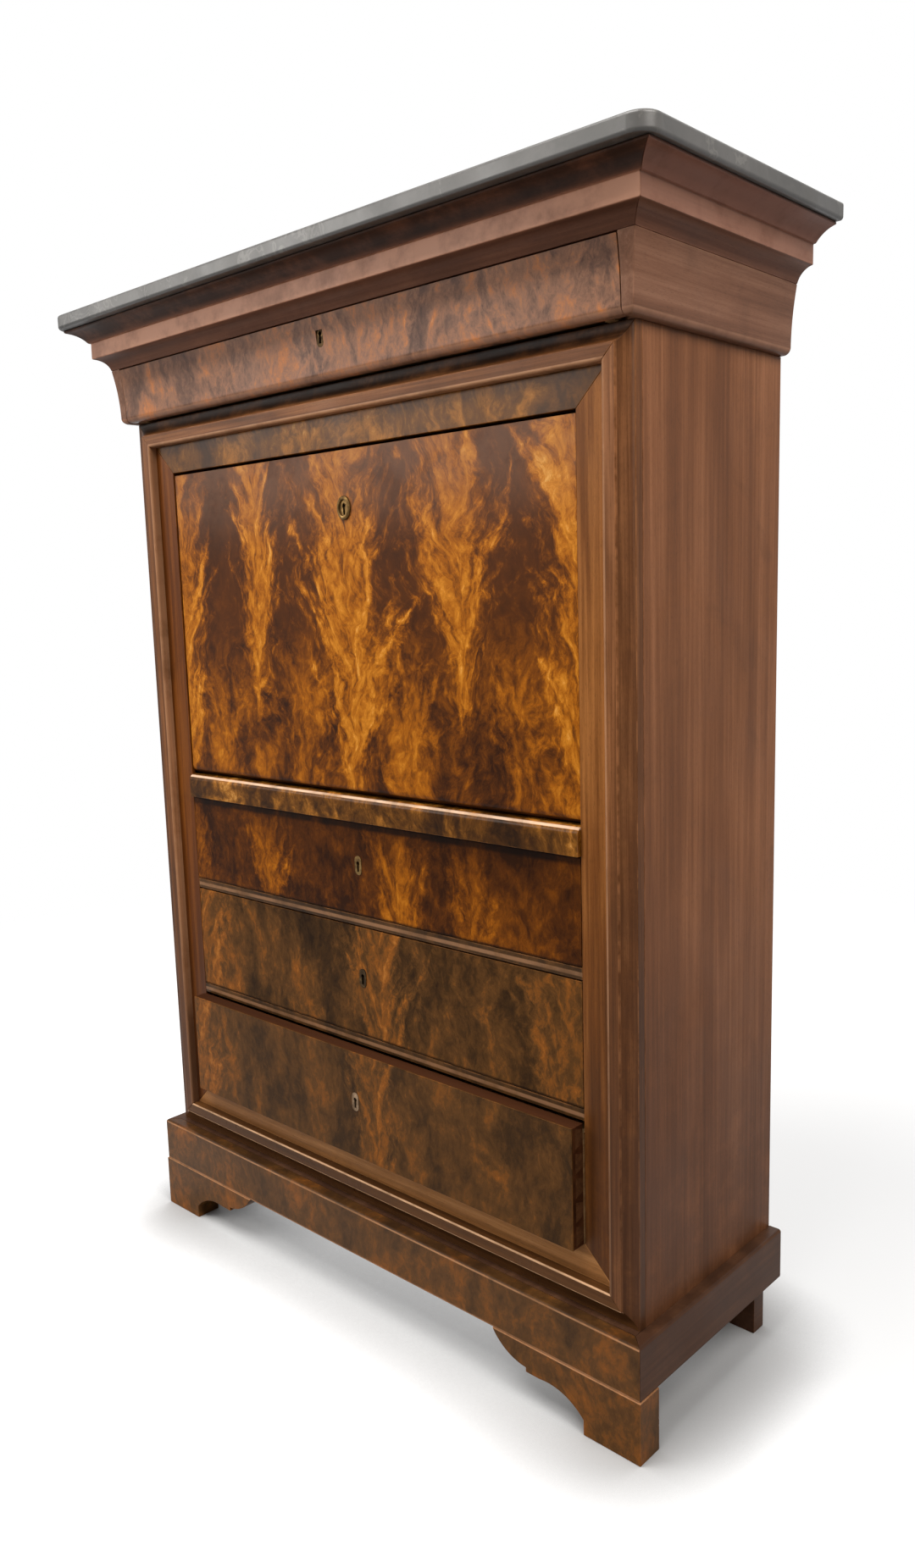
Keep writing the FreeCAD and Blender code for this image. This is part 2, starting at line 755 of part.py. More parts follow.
# Fall front
fall_key_z = fall_top - fall_key_drop
fall_tools = lock_set("fall", fall_face, fall_thickness, fall_key_z, boss_width, boss_height)
leather_low = fall_low + leather_border
leather_height = fall_top - leather_top_border - leather_low
leather_y = fall_back - leather_thickness
leather_half = fall_half - leather_border
fall_tools.append(board("leather_seat", leather_half, leather_thickness, leather_height, leather_y,
                        leather_low))
for side, sign in SIDES:
    fall_tools.append(block("fall_plate_seat_" + side, pivot_plate_thickness, pivot_plate_width,
                            pivot_plate_length,
                            mirrored_x(sign, fall_half - pivot_plate_thickness, pivot_plate_thickness),
                            plate_y, plate_low))
    fall_tools.append(rod("pivot_bore_" + side, pivot_pin_radius + pivot_bore_room, pivot_pin_length,
                          mirrored_x(sign, fall_half - pivot_pin_length, nothing), pivot_y, pivot_z,
                          ALONG_X if sign > 0 else BACK_ALONG_X))


def fall_slab():
    """The flap, with its lower edge rounded about the pivot line."""
    body = doc.addObject("PartDesign::Body", "fall_slab")
    middle = fall_thickness / 2
    height = fall_top - fall_low
    pad(body, "fall_slab", "YZ_Plane", [
        (nothing, height),
        (nothing, middle, middle, -1),
        (middle, nothing, middle, -1),
        (fall_thickness, middle),
        (fall_thickness, height),
    ], fall_half * 2)
    place(body, -fall_half, fall_face, fall_low)
    return body


node(cut("fall_front", fall_slab(), fall_tools))
node(board("writing_leather", leather_half, leather_thickness, leather_height, leather_y, leather_low))

# Pivot plates and pins
frame_plates = []
fall_plates = []
for side, sign in SIDES:
    turn = BACK_ALONG_X if sign > 0 else ALONG_X
    frame_plates.append(block("frame_plate_" + side, pivot_plate_thickness, pivot_plate_width,
                              pivot_plate_length, mirrored_x(sign, open_half, pivot_plate_thickness),
                              plate_y, plate_low))
    frame_plates.append(rod("pivot_pin_" + side, pivot_pin_radius, pivot_pin_length,
                            mirrored_x(sign, open_half, nothing), pivot_y, pivot_z, turn))
    leaf_x = mirrored_x(sign, fall_half - pivot_plate_thickness, pivot_plate_thickness)
    leaf = block("fall_leaf_" + side, pivot_plate_thickness, pivot_plate_width, pivot_plate_length, leaf_x,
                 plate_y, plate_low)
    bush = rod("fall_bush_" + side, pivot_pin_radius + pivot_play, pivot_pin_length,
               mirrored_x(sign, open_half, nothing), pivot_y, pivot_z, turn)
    fall_plates.append(cut("fall_plate_" + side, leaf, [bush]))
node(group("pivot_plates_and_pins", frame_plates))
node(group("fall_pivot_plates", fall_plates))


# Quadrant stays: arcs about the pivot line, with a peg that stops behind the stile
def quadrant(side, sign):
    peg_y = frame_back + peg_stop_gap + peg_radius - pivot_y
    peg_angle = math.degrees(math.acos(peg_y.value / stay_radius.value))
    tail_angle = math.degrees(stay_tail.value / stay_radius.value)
    start = peg_angle - 90 - tail_angle
    body = doc.addObject("PartDesign::Body", "stay_arc_" + side)
    sweep = body.newObject("PartDesign::Revolution", "stay_sweep_" + side)
    low = stay_radius - stay_width / 2
    high = stay_radius + stay_width / 2
    sketch = outline(body, "stay_sketch_" + side, "XY_Plane", [
        (nothing, low),
        (stay_thickness, low),
        (stay_thickness, high),
        (nothing, high),
    ])
    sweep.Profile = sketch
    sweep.ReferenceAxis = (sketch, ["H_Axis"])
    sweep.Angle = stay_start_angle - start
    body.Placement = Placement(Vector(), Rotation(Vector(1, 0, 0), start))
    place(body, mirrored_x(sign, stay_outer - stay_thickness, stay_thickness), pivot_y, pivot_z)
    flush = block("stay_trim_" + side, stay_thickness, stay_foot_length, stay_radius + stay_foot_length,
                  mirrored_x(sign, stay_outer - stay_thickness, stay_thickness),
                  fall_back + stay_foot_thickness - stay_foot_length, pivot_z)
    arc = cut("stay_bar_" + side, body, [flush])
    peg_turn = math.radians(peg_angle - 90)
    peg = rod("stay_peg_" + side, peg_radius, peg_length, mirrored_x(sign, stay_outer, nothing),
              pivot_y + stay_radius * math.cos(peg_turn), pivot_z + stay_radius * math.sin(peg_turn),
              ALONG_X if sign > 0 else BACK_ALONG_X)
    foot = block("stay_foot_" + side, stay_foot_width, stay_foot_thickness, stay_foot_length,
                 mirrored_x(sign, stay_outer - stay_foot_width, stay_foot_width), fall_back,
                 pivot_z + stay_radius - stay_foot_length / 2)
    return [arc, peg, foot]


node(group("quadrant_stays", quadrant("left", -1) + quadrant("right", 1)))


# Long drawers
def drawer(label, low, height, face, thickness, key_rise, box_half, face_piece):
    """A drawer on the board at low: its face, box and bottom, with the lock set above mid height."""
    tools = lock_set(label, face, thickness, low + height / 2 + key_rise, plate_width, plate_height)
    node(cut(label + "_face", face_piece, tools))
    box_low = low + drawer_run_gap
    box_height = height - drawer_face_gap - drawer_top_gap - drawer_box_drop
    box_y = face + thickness
    box_depth = drawer_depth - drawer_face_thickness
    walls = []
    for side, sign in SIDES:
        side_x = mirrored_x(sign, box_half - drawer_side_thickness, drawer_side_thickness)
        walls.append(block("%s_side_%s" % (label, side), drawer_side_thickness, box_depth, box_height, side_x,
                           box_y, box_low))
    inside = box_half - drawer_side_thickness
    walls.append(board(label + "_back", inside, drawer_back_thickness, box_height,
                       box_y + box_depth - drawer_back_thickness, box_low))
    node(group(label + "_box", walls))
    node(board(label + "_bottom", inside, box_depth - drawer_back_thickness, drawer_bottom_thickness, box_y,
               box_low + drawer_bottom_rise))


def long_drawer(label, low, height, opened):
    """A flat-faced drawer between the stiles, pulled out by the opened amount."""
    half = open_half - drawer_side_gap
    face = frame_face - opened
    face_height = height - drawer_face_gap - drawer_top_gap
    blank = board(label + "_blank", half, drawer_face_thickness, face_height, face, low + drawer_face_gap)
    drawer(label, low, height, face, drawer_face_thickness, drawer_key_rise, half, blank)


long_drawer("lower_drawer", open_bottom, lower_cell, lower_drawer_open)
long_drawer("middle_drawer", middle_low, middle_cell, nothing)
long_drawer("upper_drawer", upper_low, upper_cell, nothing)
frieze_blank_half = frieze_face_half - drawer_side_gap
frieze_blank = run("frieze_drawer_blank", [
    (frieze_front_inset, drawer_face_gap),
    (-frieze_foot_offset, drawer_face_gap, frieze_round_radius, 1),
    (-frieze_low_offset, frieze_round_height + drawer_face_gap, frieze_hollow_radius, -1),
    (-frieze_top_offset, frieze_height - drawer_top_gap),
    (frieze_front_inset, frieze_height - drawer_top_gap),
], frieze_blank_half * 2, "XY_Plane", -frieze_top_offset, nothing, (), STRAIGHT, -frieze_blank_half, front,
    carcase_top)
drawer("frieze_drawer", carcase_top, frieze_height, front - frieze_key_offset,
       frieze_front_inset + frieze_key_offset, frieze_key_rise, inner_half - drawer_side_gap, frieze_blank)


# Small drawers of the interior, each with a turned knob
def small_drawer(side, sign):
    label = "small_drawer_" + side
    low = bed_top + small_gap / 4
    height = nest_drawer_cell - small_gap
    width = bay_width - small_gap * 2
    x = mirrored_x(sign, bay_inner + small_gap, width)
    box_height = height - small_box_drop
    box_y = nest_front + small_face_thickness
    box_depth = small_depth - small_face_thickness
    face = block(label + "_board", width, small_face_thickness, height, x, nest_front, low)
    walls = []
    for part, shift in (("low_side", nothing), ("high_side", width - small_side_thickness)):
        walls.append(block(label + "_" + part, small_side_thickness, box_depth, box_height, x + shift, box_y,
                           low))
    inside = width - small_side_thickness * 2
    walls.append(block(label + "_back", inside, small_side_thickness, box_height, x + small_side_thickness,
                       box_y + box_depth - small_side_thickness, low))
    walls.append(block(label + "_bottom", inside, box_depth - small_side_thickness, small_bottom_thickness,
                       x + small_side_thickness, box_y, low))
    knob = doc.addObject("PartDesign::Body", label + "_knob_turned")
    turned = knob.newObject("PartDesign::Revolution", label + "_knob_turn")
    sketch = outline(knob, label + "_knob_sketch", "XY_Plane", [
        (nothing, nothing),
        (knob_neck, nothing),
        (knob_neck, knob_length - knob_radius),
        (knob_radius, knob_length - knob_radius, knob_radius, -1),
        (nothing, knob_length),
    ])
    turned.Profile = sketch
    turned.ReferenceAxis = (sketch, ["V_Axis"])
    turned.Angle = 360
    knob.Placement = Placement(Vector(), Rotation(Vector(0, 0, 1), 180))
    place(knob, x + width / 2, nest_front, low + height / 2)
    node(group(label + "_face", [face, knob]))
    node(group(label + "_box", walls))


for side, sign in SIDES:
    small_drawer(side, sign)

# Every object is checked before anything is written
doc.recompute()
for thing in doc.Objects:
    if "Invalid" in thing.State or "Error" in thing.State:
        raise RuntimeError("failed: %s %s" % (thing.Label, thing.State))
for thing in nodes:
    if thing.Shape.isNull() or not thing.Shape.isValid():
        raise RuntimeError("bad shape: " + thing.Label)
os.makedirs("parts", exist_ok=True)
for thing in nodes:
    thing.Shape.exportStep("parts/%s.step" % thing.Label)
    print(thing.Label, len(thing.Shape.Solids), round(thing.Shape.Volume))
print("nodes:", len(nodes))
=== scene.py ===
# %% [markdown]
# # An escritoire, from CAD frame to finished furniture
# This lesson dresses a tall fall-front writing desk. The solids come from a CAD model and stay where they
# are. Blender adds what CAD leaves out: softened arrises, veneer, grain, polish, stone, leather and brass.

import json
import math

import bpy
from mathutils import Matrix, Vector

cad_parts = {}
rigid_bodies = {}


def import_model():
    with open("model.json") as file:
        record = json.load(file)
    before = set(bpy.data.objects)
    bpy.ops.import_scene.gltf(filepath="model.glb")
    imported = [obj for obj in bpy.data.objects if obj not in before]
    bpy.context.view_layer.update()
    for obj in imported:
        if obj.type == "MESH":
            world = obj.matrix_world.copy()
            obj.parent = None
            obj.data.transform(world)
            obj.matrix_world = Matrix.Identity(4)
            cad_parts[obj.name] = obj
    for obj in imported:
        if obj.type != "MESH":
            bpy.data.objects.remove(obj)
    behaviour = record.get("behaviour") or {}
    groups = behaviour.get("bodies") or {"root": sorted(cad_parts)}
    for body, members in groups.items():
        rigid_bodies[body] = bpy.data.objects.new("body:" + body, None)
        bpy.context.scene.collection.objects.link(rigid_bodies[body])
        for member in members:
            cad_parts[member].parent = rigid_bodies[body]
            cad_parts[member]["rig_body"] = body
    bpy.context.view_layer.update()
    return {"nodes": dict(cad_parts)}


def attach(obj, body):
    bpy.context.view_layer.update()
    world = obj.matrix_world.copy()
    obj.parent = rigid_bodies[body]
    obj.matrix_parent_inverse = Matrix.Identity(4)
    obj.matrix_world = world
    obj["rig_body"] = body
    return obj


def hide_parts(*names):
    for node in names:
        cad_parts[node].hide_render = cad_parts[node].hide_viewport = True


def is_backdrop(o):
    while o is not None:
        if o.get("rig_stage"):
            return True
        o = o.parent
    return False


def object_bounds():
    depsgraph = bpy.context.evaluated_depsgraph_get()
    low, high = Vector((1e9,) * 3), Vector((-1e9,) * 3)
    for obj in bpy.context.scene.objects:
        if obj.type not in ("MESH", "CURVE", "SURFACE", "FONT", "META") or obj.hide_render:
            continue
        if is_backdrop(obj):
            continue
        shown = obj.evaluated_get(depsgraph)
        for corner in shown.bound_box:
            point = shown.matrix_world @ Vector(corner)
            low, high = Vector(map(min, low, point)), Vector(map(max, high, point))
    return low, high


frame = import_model()

# %% [markdown]
# ## Where the viewer stands
# The desk is seen from its right front corner with a wide lens, a little above mid height and looking down.
# Place, turn and lens were fitted to straight edges of the desk, so the camera is built from angles: a
# forward direction, then a small roll about it.

# %% Camera
VIEW_AZIMUTH = 0.74985
VIEW_PITCH = 0.15663
VIEW_ROLL = -0.02871
VIEW_PLACE = Vector((1.18378, -1.17401, 1.01076))
VIEW_LENS = 27.046
SENSOR_WIDTH = 36

bpy.ops.object.select_all(action="DESELECT")
bpy.ops.object.camera_add(location=VIEW_PLACE)
camera = bpy.context.object
camera.name = "viewer"
forward = Vector((-math.sin(VIEW_AZIMUTH) * math.cos(VIEW_PITCH),
                  math.cos(VIEW_AZIMUTH) * math.cos(VIEW_PITCH), -math.sin(VIEW_PITCH)))
level_right = Vector((math.cos(VIEW_AZIMUTH), math.sin(VIEW_AZIMUTH), 0))
level_up = level_right.cross(forward)
right = level_right * math.cos(VIEW_ROLL) + level_up * math.sin(VIEW_ROLL)
up = level_up * math.cos(VIEW_ROLL) - level_right * math.sin(VIEW_ROLL)
camera.matrix_world = Matrix.Translation(VIEW_PLACE) @ Matrix((right, up, -forward)).transposed().to_4x4()
camera.data.sensor_width = SENSOR_WIDTH
camera.data.lens = VIEW_LENS
bpy.context.scene.camera = camera
bpy.context.scene.view_settings.view_transform = "Standard"
print("camera at", [round(value, 3) for value in camera.location], "lens", VIEW_LENS)

# %% [markdown]
# ## Building shader trees
# A finish is a small network of nodes. One helper adds a node and either links or writes its inputs, and
# one turns a paint-chart tone (0 to 255) into the linear colour that the shader wants.

# %% Helpers for nodes and colours
def add(tree, kind, sockets=None, **settings):
    """One node; an output given as a value is linked, anything else is written in."""
    node = tree.nodes.new("ShaderNode" + kind)
    for name, value in settings.items():
        setattr(node, name, value)
    for name, value in (sockets or {}).items():
        if isinstance(value, bpy.types.NodeSocket):
            tree.links.new(value, node.inputs[name])
        else:
            node.inputs[name].default_value = value
    return node


def calc(tree, operation, first, second=None, third=None):
    """The output of one Math node."""
    values = {index: value for index, value in enumerate((first, second, third)) if value is not None}
    return add(tree, "Math", values, operation=operation).outputs[0]


def tone(red, green, blue):
    """A paint-chart tone as a linear colour."""
    def linear(level):
        share = level / 255
        return share / 12.92 if share <= 0.04045 else ((share + 0.055) / 1.055) ** 2.4
    return (linear(red), linear(green), linear(blue), 1)


def blended(tree, factor, first, second):
    """The colour output of one Mix node."""
    sockets = {0: factor, 6: first, 7: second}
    return add(tree, "Mix", sockets, data_type="RGBA").outputs[2]


def laid(tree, colour, mask, share, shade):
    """A colour with a tone laid over it where a mask says so."""
    return blended(tree, calc(tree, "MULTIPLY", mask, share), colour, tone(*shade))


def swung(tree, value, amount, base):
    """A base pushed up and down by a value that lies about one half."""
    return calc(tree, "MULTIPLY_ADD", calc(tree, "SUBTRACT", value, 0.5), amount, base)


print("node and colour helpers ready")

# %% [markdown]
# ## Patterns from noise
# Wood, stone and dirt are drawn from a few steps: a noise, coordinates stretched along the grain, a smooth
# step that picks part of a noise, and a ramp of tones.

# %% Helpers for patterns
def eased_range(tree, value, low, high, to_low=0.0, to_high=1.0):
    """A smooth step from low to high."""
    sockets = {"Value": value, "From Min": low, "From Max": high, "To Min": to_low, "To Max": to_high}
    return add(tree, "MapRange", sockets, interpolation_type="SMOOTHSTEP").outputs[0]


def ramp(tree, value, stops):
    """A colour ramp through (place, tone) stops."""
    node = add(tree, "ValToRGB", {0: value})
    band = node.color_ramp
    for place, colour in stops[1:-1]:
        band.elements.new(place).color = tone(*colour)
    for element, (place, colour) in ((band.elements[0], stops[0]), (band.elements[-1], stops[-1])):
        element.position = place
        element.color = tone(*colour)
    return node.outputs[0]


def noise(tree, vector, scale, detail=3.0, roughness=0.55, distortion=0.0):
    """A noise value between 0 and 1."""
    sockets = {"Vector": vector, "Scale": scale, "Detail": detail, "Roughness": roughness,
               "Distortion": distortion}
    return add(tree, "TexNoise", sockets).outputs[0]


def stretched(tree, vector, scale, turn=(0, 0, 0), shift=(0, 0, 0)):
    """Coordinates stretched, turned and shifted by a Mapping node."""
    sockets = {"Vector": vector, "Scale": scale, "Rotation": turn, "Location": shift}
    return add(tree, "Mapping", sockets).outputs[0]


print("pattern helpers ready")

# %% [markdown]
# ## Groups and materials
# A pattern that several finishes share is built once as a group, which only gives out masks and values.
# The shader itself stays in each material.

# %% Helpers for groups and materials
def new_group(name, values, outputs):
    """An empty group with coordinates and values as inputs, its input node and its output node."""
    tree = bpy.data.node_groups.new(name, "ShaderNodeTree")
    tree.interface.new_socket("Vector", in_out="INPUT", socket_type="NodeSocketVector")
    for label in values:
        tree.interface.new_socket(label, in_out="INPUT", socket_type="NodeSocketFloat")
    for label in outputs:
        tree.interface.new_socket(label, in_out="OUTPUT", socket_type="NodeSocketFloat")
    return tree, tree.nodes.new("NodeGroupInput"), tree.nodes.new("NodeGroupOutput")


def use_group(tree, group, sockets):
    """One use of a shader group in a tree."""
    return add(tree, "Group", sockets, node_tree=group)


def new_finish(name):
    """A new material, with its tree, its Principled shader and its object coordinates."""
    material = bpy.data.materials.new(name)
    material.use_nodes = True
    tree = material.node_tree
    shader = tree.nodes["Principled BSDF"]
    place = add(tree, "TexCoord").outputs["Object"]
    return material, tree, shader, place


def dress(tree, shader, colour, rough, height, strength, distance):
    """Link a colour and a roughness to the shader, and a bump from a height."""
    bump = add(tree, "Bump", {"Strength": strength, "Distance": distance, "Height": height})
    for name, value in (("Base Color", colour), ("Roughness", rough), ("Normal", bump.outputs[0])):
        tree.links.new(value, shader.inputs[name])


print("group and material helpers ready")

# %% [markdown]
# ## A white background
# The camera and mirror-like rays see plain white, while the light that falls on the wood is softer than
# that, so that the shadows keep their depth.

# %% White background
WHITE = (1, 1, 1, 1)
AMBIENT = (0.97, 0.985, 1, 1)
AMBIENT_STRENGTH = 0.26


def eye_rays(tree):
    """1 for rays that show the background itself: camera, mirror-like and see-through rays."""
    path = add(tree, "LightPath")
    seen = calc(tree, "MAXIMUM", path.outputs["Is Camera Ray"], path.outputs["Is Glossy Ray"])
    return calc(tree, "MAXIMUM", seen, path.outputs["Is Transmission Ray"])


world = bpy.data.worlds.new("studio")
bpy.context.scene.world = world
world.use_nodes = True
tree = world.node_tree
soft = tree.nodes["Background"]
soft.inputs["Color"].default_value = AMBIENT
soft.inputs["Strength"].default_value = AMBIENT_STRENGTH
shown = add(tree, "Background", {"Color": WHITE, "Strength": 1})
both = add(tree, "MixShader", {0: eye_rays(tree), 1: soft.outputs[0], 2: shown.outputs[0]})
tree.links.new(both.outputs[0], tree.nodes["World Output"].inputs["Surface"])
print("white background, ambient", AMBIENT_STRENGTH)

# %% [markdown]
# ## The floor and its shadow
# Ambient occlusion darkens the ground where the feet and the plinth come close to it. Two soft patches,
# behind the desk and beside its right foot, carry that shadow on, as a window on the left would.

# %% Shade on the floor
CONTACT_REACH = 0.14
CONTACT_POWER = 4.2
BEHIND_DESK = (0.62, 0.42, 0)
BEHIND_RANGE = (0.25, 1.35)
BEHIND_SHADE = 0.72
BESIDE_SCALE = (9.0, 4.5, 1)
BESIDE_SHIFT = (-4.23, -0.09, 0)
BESIDE_RANGE = (0.1, 1.2)
BESIDE_SHADE = 0.22


def floor_shade(tree, ground):
    """1 on open ground, less in the contact shadow and in the two soft patches."""
    hollow = add(tree, "AmbientOcclusion", {"Distance": CONTACT_REACH}, samples=12).outputs["AO"]
    shade = calc(tree, "POWER", hollow, CONTACT_POWER)
    behind = add(tree, "VectorMath", {0: ground, 1: BEHIND_DESK}, operation="DISTANCE").outputs["Value"]
    shade = calc(tree, "MULTIPLY", shade, eased_range(tree, behind, *BEHIND_RANGE, BEHIND_SHADE, 1.0))
    beside = stretched(tree, ground, BESIDE_SCALE, shift=BESIDE_SHIFT)
    beside = add(tree, "VectorMath", {0: beside}, operation="LENGTH").outputs["Value"]
    return calc(tree, "MULTIPLY", shade, eased_range(tree, beside, *BESIDE_RANGE, BESIDE_SHADE, 1.0))


print("shade: contact within", CONTACT_REACH, "m")

# %% [markdown]
# ## Laying the floor
# The eye sees a bright floor, which is a diffuse grey plus some glow, and plain white further off. The wood
# sees a dimmer one, so that bounced light does not wash out the lower drawers.

# %% Floor
FLOOR_SIZE = 60
WHITE_FROM, WHITE_TO = 1.1, 2.6
FLOOR_GREY = (0.40, 0.40, 0.40, 1)
FLOOR_GLOW = 0.82
BOUNCE_GREY = (0.26, 0.25, 0.24, 1)
bpy.ops.mesh.primitive_plane_add(size=FLOOR_SIZE)
floor = bpy.context.object
floor.name = "floor"
floor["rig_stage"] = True
finish = bpy.data.materials.new("pale_floor")
finish.use_nodes = True
tree = finish.node_tree
tree.nodes.remove(tree.nodes["Principled BSDF"])
ground = add(tree, "TexCoord").outputs["Object"]
glow_strength = calc(tree, "MULTIPLY", floor_shade(tree, ground), FLOOR_GLOW)
shadowed = add(tree, "BsdfDiffuse", {"Color": FLOOR_GREY})
glow = add(tree, "Emission", {"Color": WHITE, "Strength": glow_strength})
near = add(tree, "AddShader", {0: shadowed.outputs[0], 1: glow.outputs[0]})
far = add(tree, "Emission", {"Color": WHITE, "Strength": 1})
away = add(tree, "VectorMath", {0: ground}, operation="LENGTH").outputs["Value"]
open_ground = eased_range(tree, away, WHITE_FROM, WHITE_TO)
bright = add(tree, "MixShader", {0: open_ground, 1: near.outputs[0], 2: far.outputs[0]})
dim = add(tree, "BsdfDiffuse", {"Color": BOUNCE_GREY})
both = add(tree, "MixShader", {0: eye_rays(tree), 1: dim.outputs[0], 2: bright.outputs[0]})
tree.links.new(both.outputs[0], tree.nodes["Material Output"].inputs["Surface"])
floor.data.materials.append(finish)
print("floor:", FLOOR_SIZE, "m across")

# %% [markdown]
# ## Soft lamps
# Polished wood shows every lamp as a streak, so the lamps are large and few: a window on the left, a panel
# overhead for the mouldings, a fill for the side, and a weak one for the back.

# %% Lamps
def soft_lamp(name, place, aim, width, height, power, colour):
    """A large rectangular lamp turned towards a point."""
    bpy.ops.object.light_add(type="AREA", location=place)
    lamp = bpy.context.object
    lamp.name = name
    lamp.data.shape = "RECTANGLE"
    lamp.data.size = width
    lamp.data.size_y = height
    lamp.data.energy = power
    lamp.data.color = colour
    lamp.rotation_euler = (Vector(aim) - Vector(place)).to_track_quat("-Z", "Y").to_euler()
    return lamp


lamps = [
    soft_lamp("window_left", (-2.6, -2.9, 2.3), (0, 0, 0.9), 2.0, 1.6, 76, (1, 0.97, 0.93)),
    soft_lamp("ceiling", (0.0, -1.25, 3.3), (0.0, 0, 0.9), 1.8, 1.5, 82, (1, 0.98, 0.96)),
    soft_lamp("side_fill", (2.2, -0.4, 2.9), (0.46, 0, 1.2), 1.4, 1.4, 66, (1, 0.96, 0.92)),
    soft_lamp("back_fill", (-0.6, 3.4, 2.6), (0, 0.2, 0.7), 2.0, 2.0, 26, (1, 0.98, 0.96)),
]
print("lamps:", [lamp.name for lamp in lamps])

# %% [markdown]
# ## Straight grain
# Mahogany boards show slow stripes a finger wide, fine lines along the board, and short dark pores. All
# three are noise drawn out along one axis. The group takes coordinates whose X runs along the board, so it
# serves uprights, rails and returns.

# %% Straight grain group
def straight_grain():
    tree, given, result = new_group("Straight grain", (), ("Stripe", "Line", "Pore"))
    place = given.outputs["Vector"]
    stripe = noise(tree, stretched(tree, place, (0.8, 42, 42)), 1.0, 3.0, 0.55, 0.5)
    line = noise(tree, stretched(tree, place, (4, 190, 190)), 1.0, 4.0, 0.65, 0.3)
    dash = noise(tree, stretched(tree, place, (150, 2300, 2300)), 1.0, 1.0)
    pore = eased_range(tree, dash, 0.58, 0.72)
    for name, value in (("Stripe", stripe), ("Line", line), ("Pore", pore)):
        tree.links.new(value, result.inputs[name])
    return tree


GRAIN = straight_grain()
print("group:", GRAIN.name)

# %% [markdown]
# ## Worn arrises and old polish
# Old wax polish is rubbed thin on the arrises, smeared on the flats and brown with grime in patches. The
# arrises are found by an attribute that the softened pieces carry.

# %% Old polish group
def old_polish():
    """Wear on softened arrises, smears in the polish and grime."""
    tree, given, result = new_group("Old polish", (), ("Worn", "Smear", "Grime"))
    place = given.outputs["Vector"]
    arris = add(tree, "Attribute", attribute_name="arris").outputs["Fac"]
    rubbed = eased_range(tree, noise(tree, place, 34, 4.0, 0.6), 0.40, 0.62)
    worn = calc(tree, "MULTIPLY", arris, rubbed)
    smear = noise(tree, stretched(tree, place, (7, 7, 4)), 1.0, 4.0, 0.6, 0.8)
    grime = eased_range(tree, noise(tree, place, 11, 5.0, 0.65, 0.4), 0.52, 0.75)
    for name, value in (("Worn", worn), ("Smear", smear), ("Grime", grime)):
        tree.links.new(value, result.inputs[name])
    return tree


POLISH = old_polish()
print("group:", POLISH.name)

# %% [markdown]
# ## Bands along a moulding
# Pale bands along the proud lines of a moulding are painted highlights, on the fillet together with real
# rubbing, and dark bands in its hollows and under its overhangs are painted shade. So a band is a stretch
# between two heights, or two distances from the middle, with soft borders. A noise breaks it up.

# %% Bands along a moulding
def moulding_band():
    """A broken band between two places along one axis, with soft borders."""
    tree, given, result = new_group("Moulding band", ("Along", "Low", "High", "Soft"), ("Mask",))
    along = given.outputs["Along"]
    before = calc(tree, "SUBTRACT", given.outputs["Low"], given.outputs["Soft"])
    after = calc(tree, "ADD", given.outputs["High"], given.outputs["Soft"])
    rise = eased_range(tree, along, before, given.outputs["Low"])
    fall = eased_range(tree, along, given.outputs["High"], after, 1.0, 0.0)
    broken = eased_range(tree, noise(tree, given.outputs["Vector"], 17, 5.0, 0.65), 0.30, 0.58, 0.45, 1.0)
    mask = calc(tree, "MULTIPLY", calc(tree, "MULTIPLY", rise, fall), broken)
    tree.links.new(mask, result.inputs["Mask"])
    return tree


BAND = moulding_band()


def banded(tree, place, colour, bands):
    """A colour with bands (axis, low, high, soft border, strength, tone) laid over it.

    The X axis is read without its sign, so that one band serves the left and the right piece.
    """
    axes = add(tree, "SeparateXYZ", {0: place})
    for axis, low, high, soft, strength, shade in bands:
        along = axes.outputs[axis]
        if axis == "X":
            along = calc(tree, "ABSOLUTE", along)
        sockets = {"Vector": place, "Along": along, "Low": low, "High": high, "Soft": soft}
        mask = use_group(tree, BAND, sockets).outputs["Mask"]
        colour = laid(tree, colour, mask, strength, shade)
    return colour


print("group:", BAND.name)

# %% [markdown]
# ## Plain mahogany
# The frame, the mouldings and the sides are straight-grained mahogany under a satin wax polish. The turn
# lays the grain along the board and three tones set how dark it has gone.

# %% Wood builder
ALONG_X = (0, 0, 0)
ALONG_Y = (0, 0, math.pi / 2)
ALONG_Z = (0, math.pi / 2, 0)
STRIPE_SHARE = 0.55
PORE_SHARE = 0.35
GRIME_SHARE = 0.22
WORN_SHARE = 0.35
WAX_SHINE = 0.08


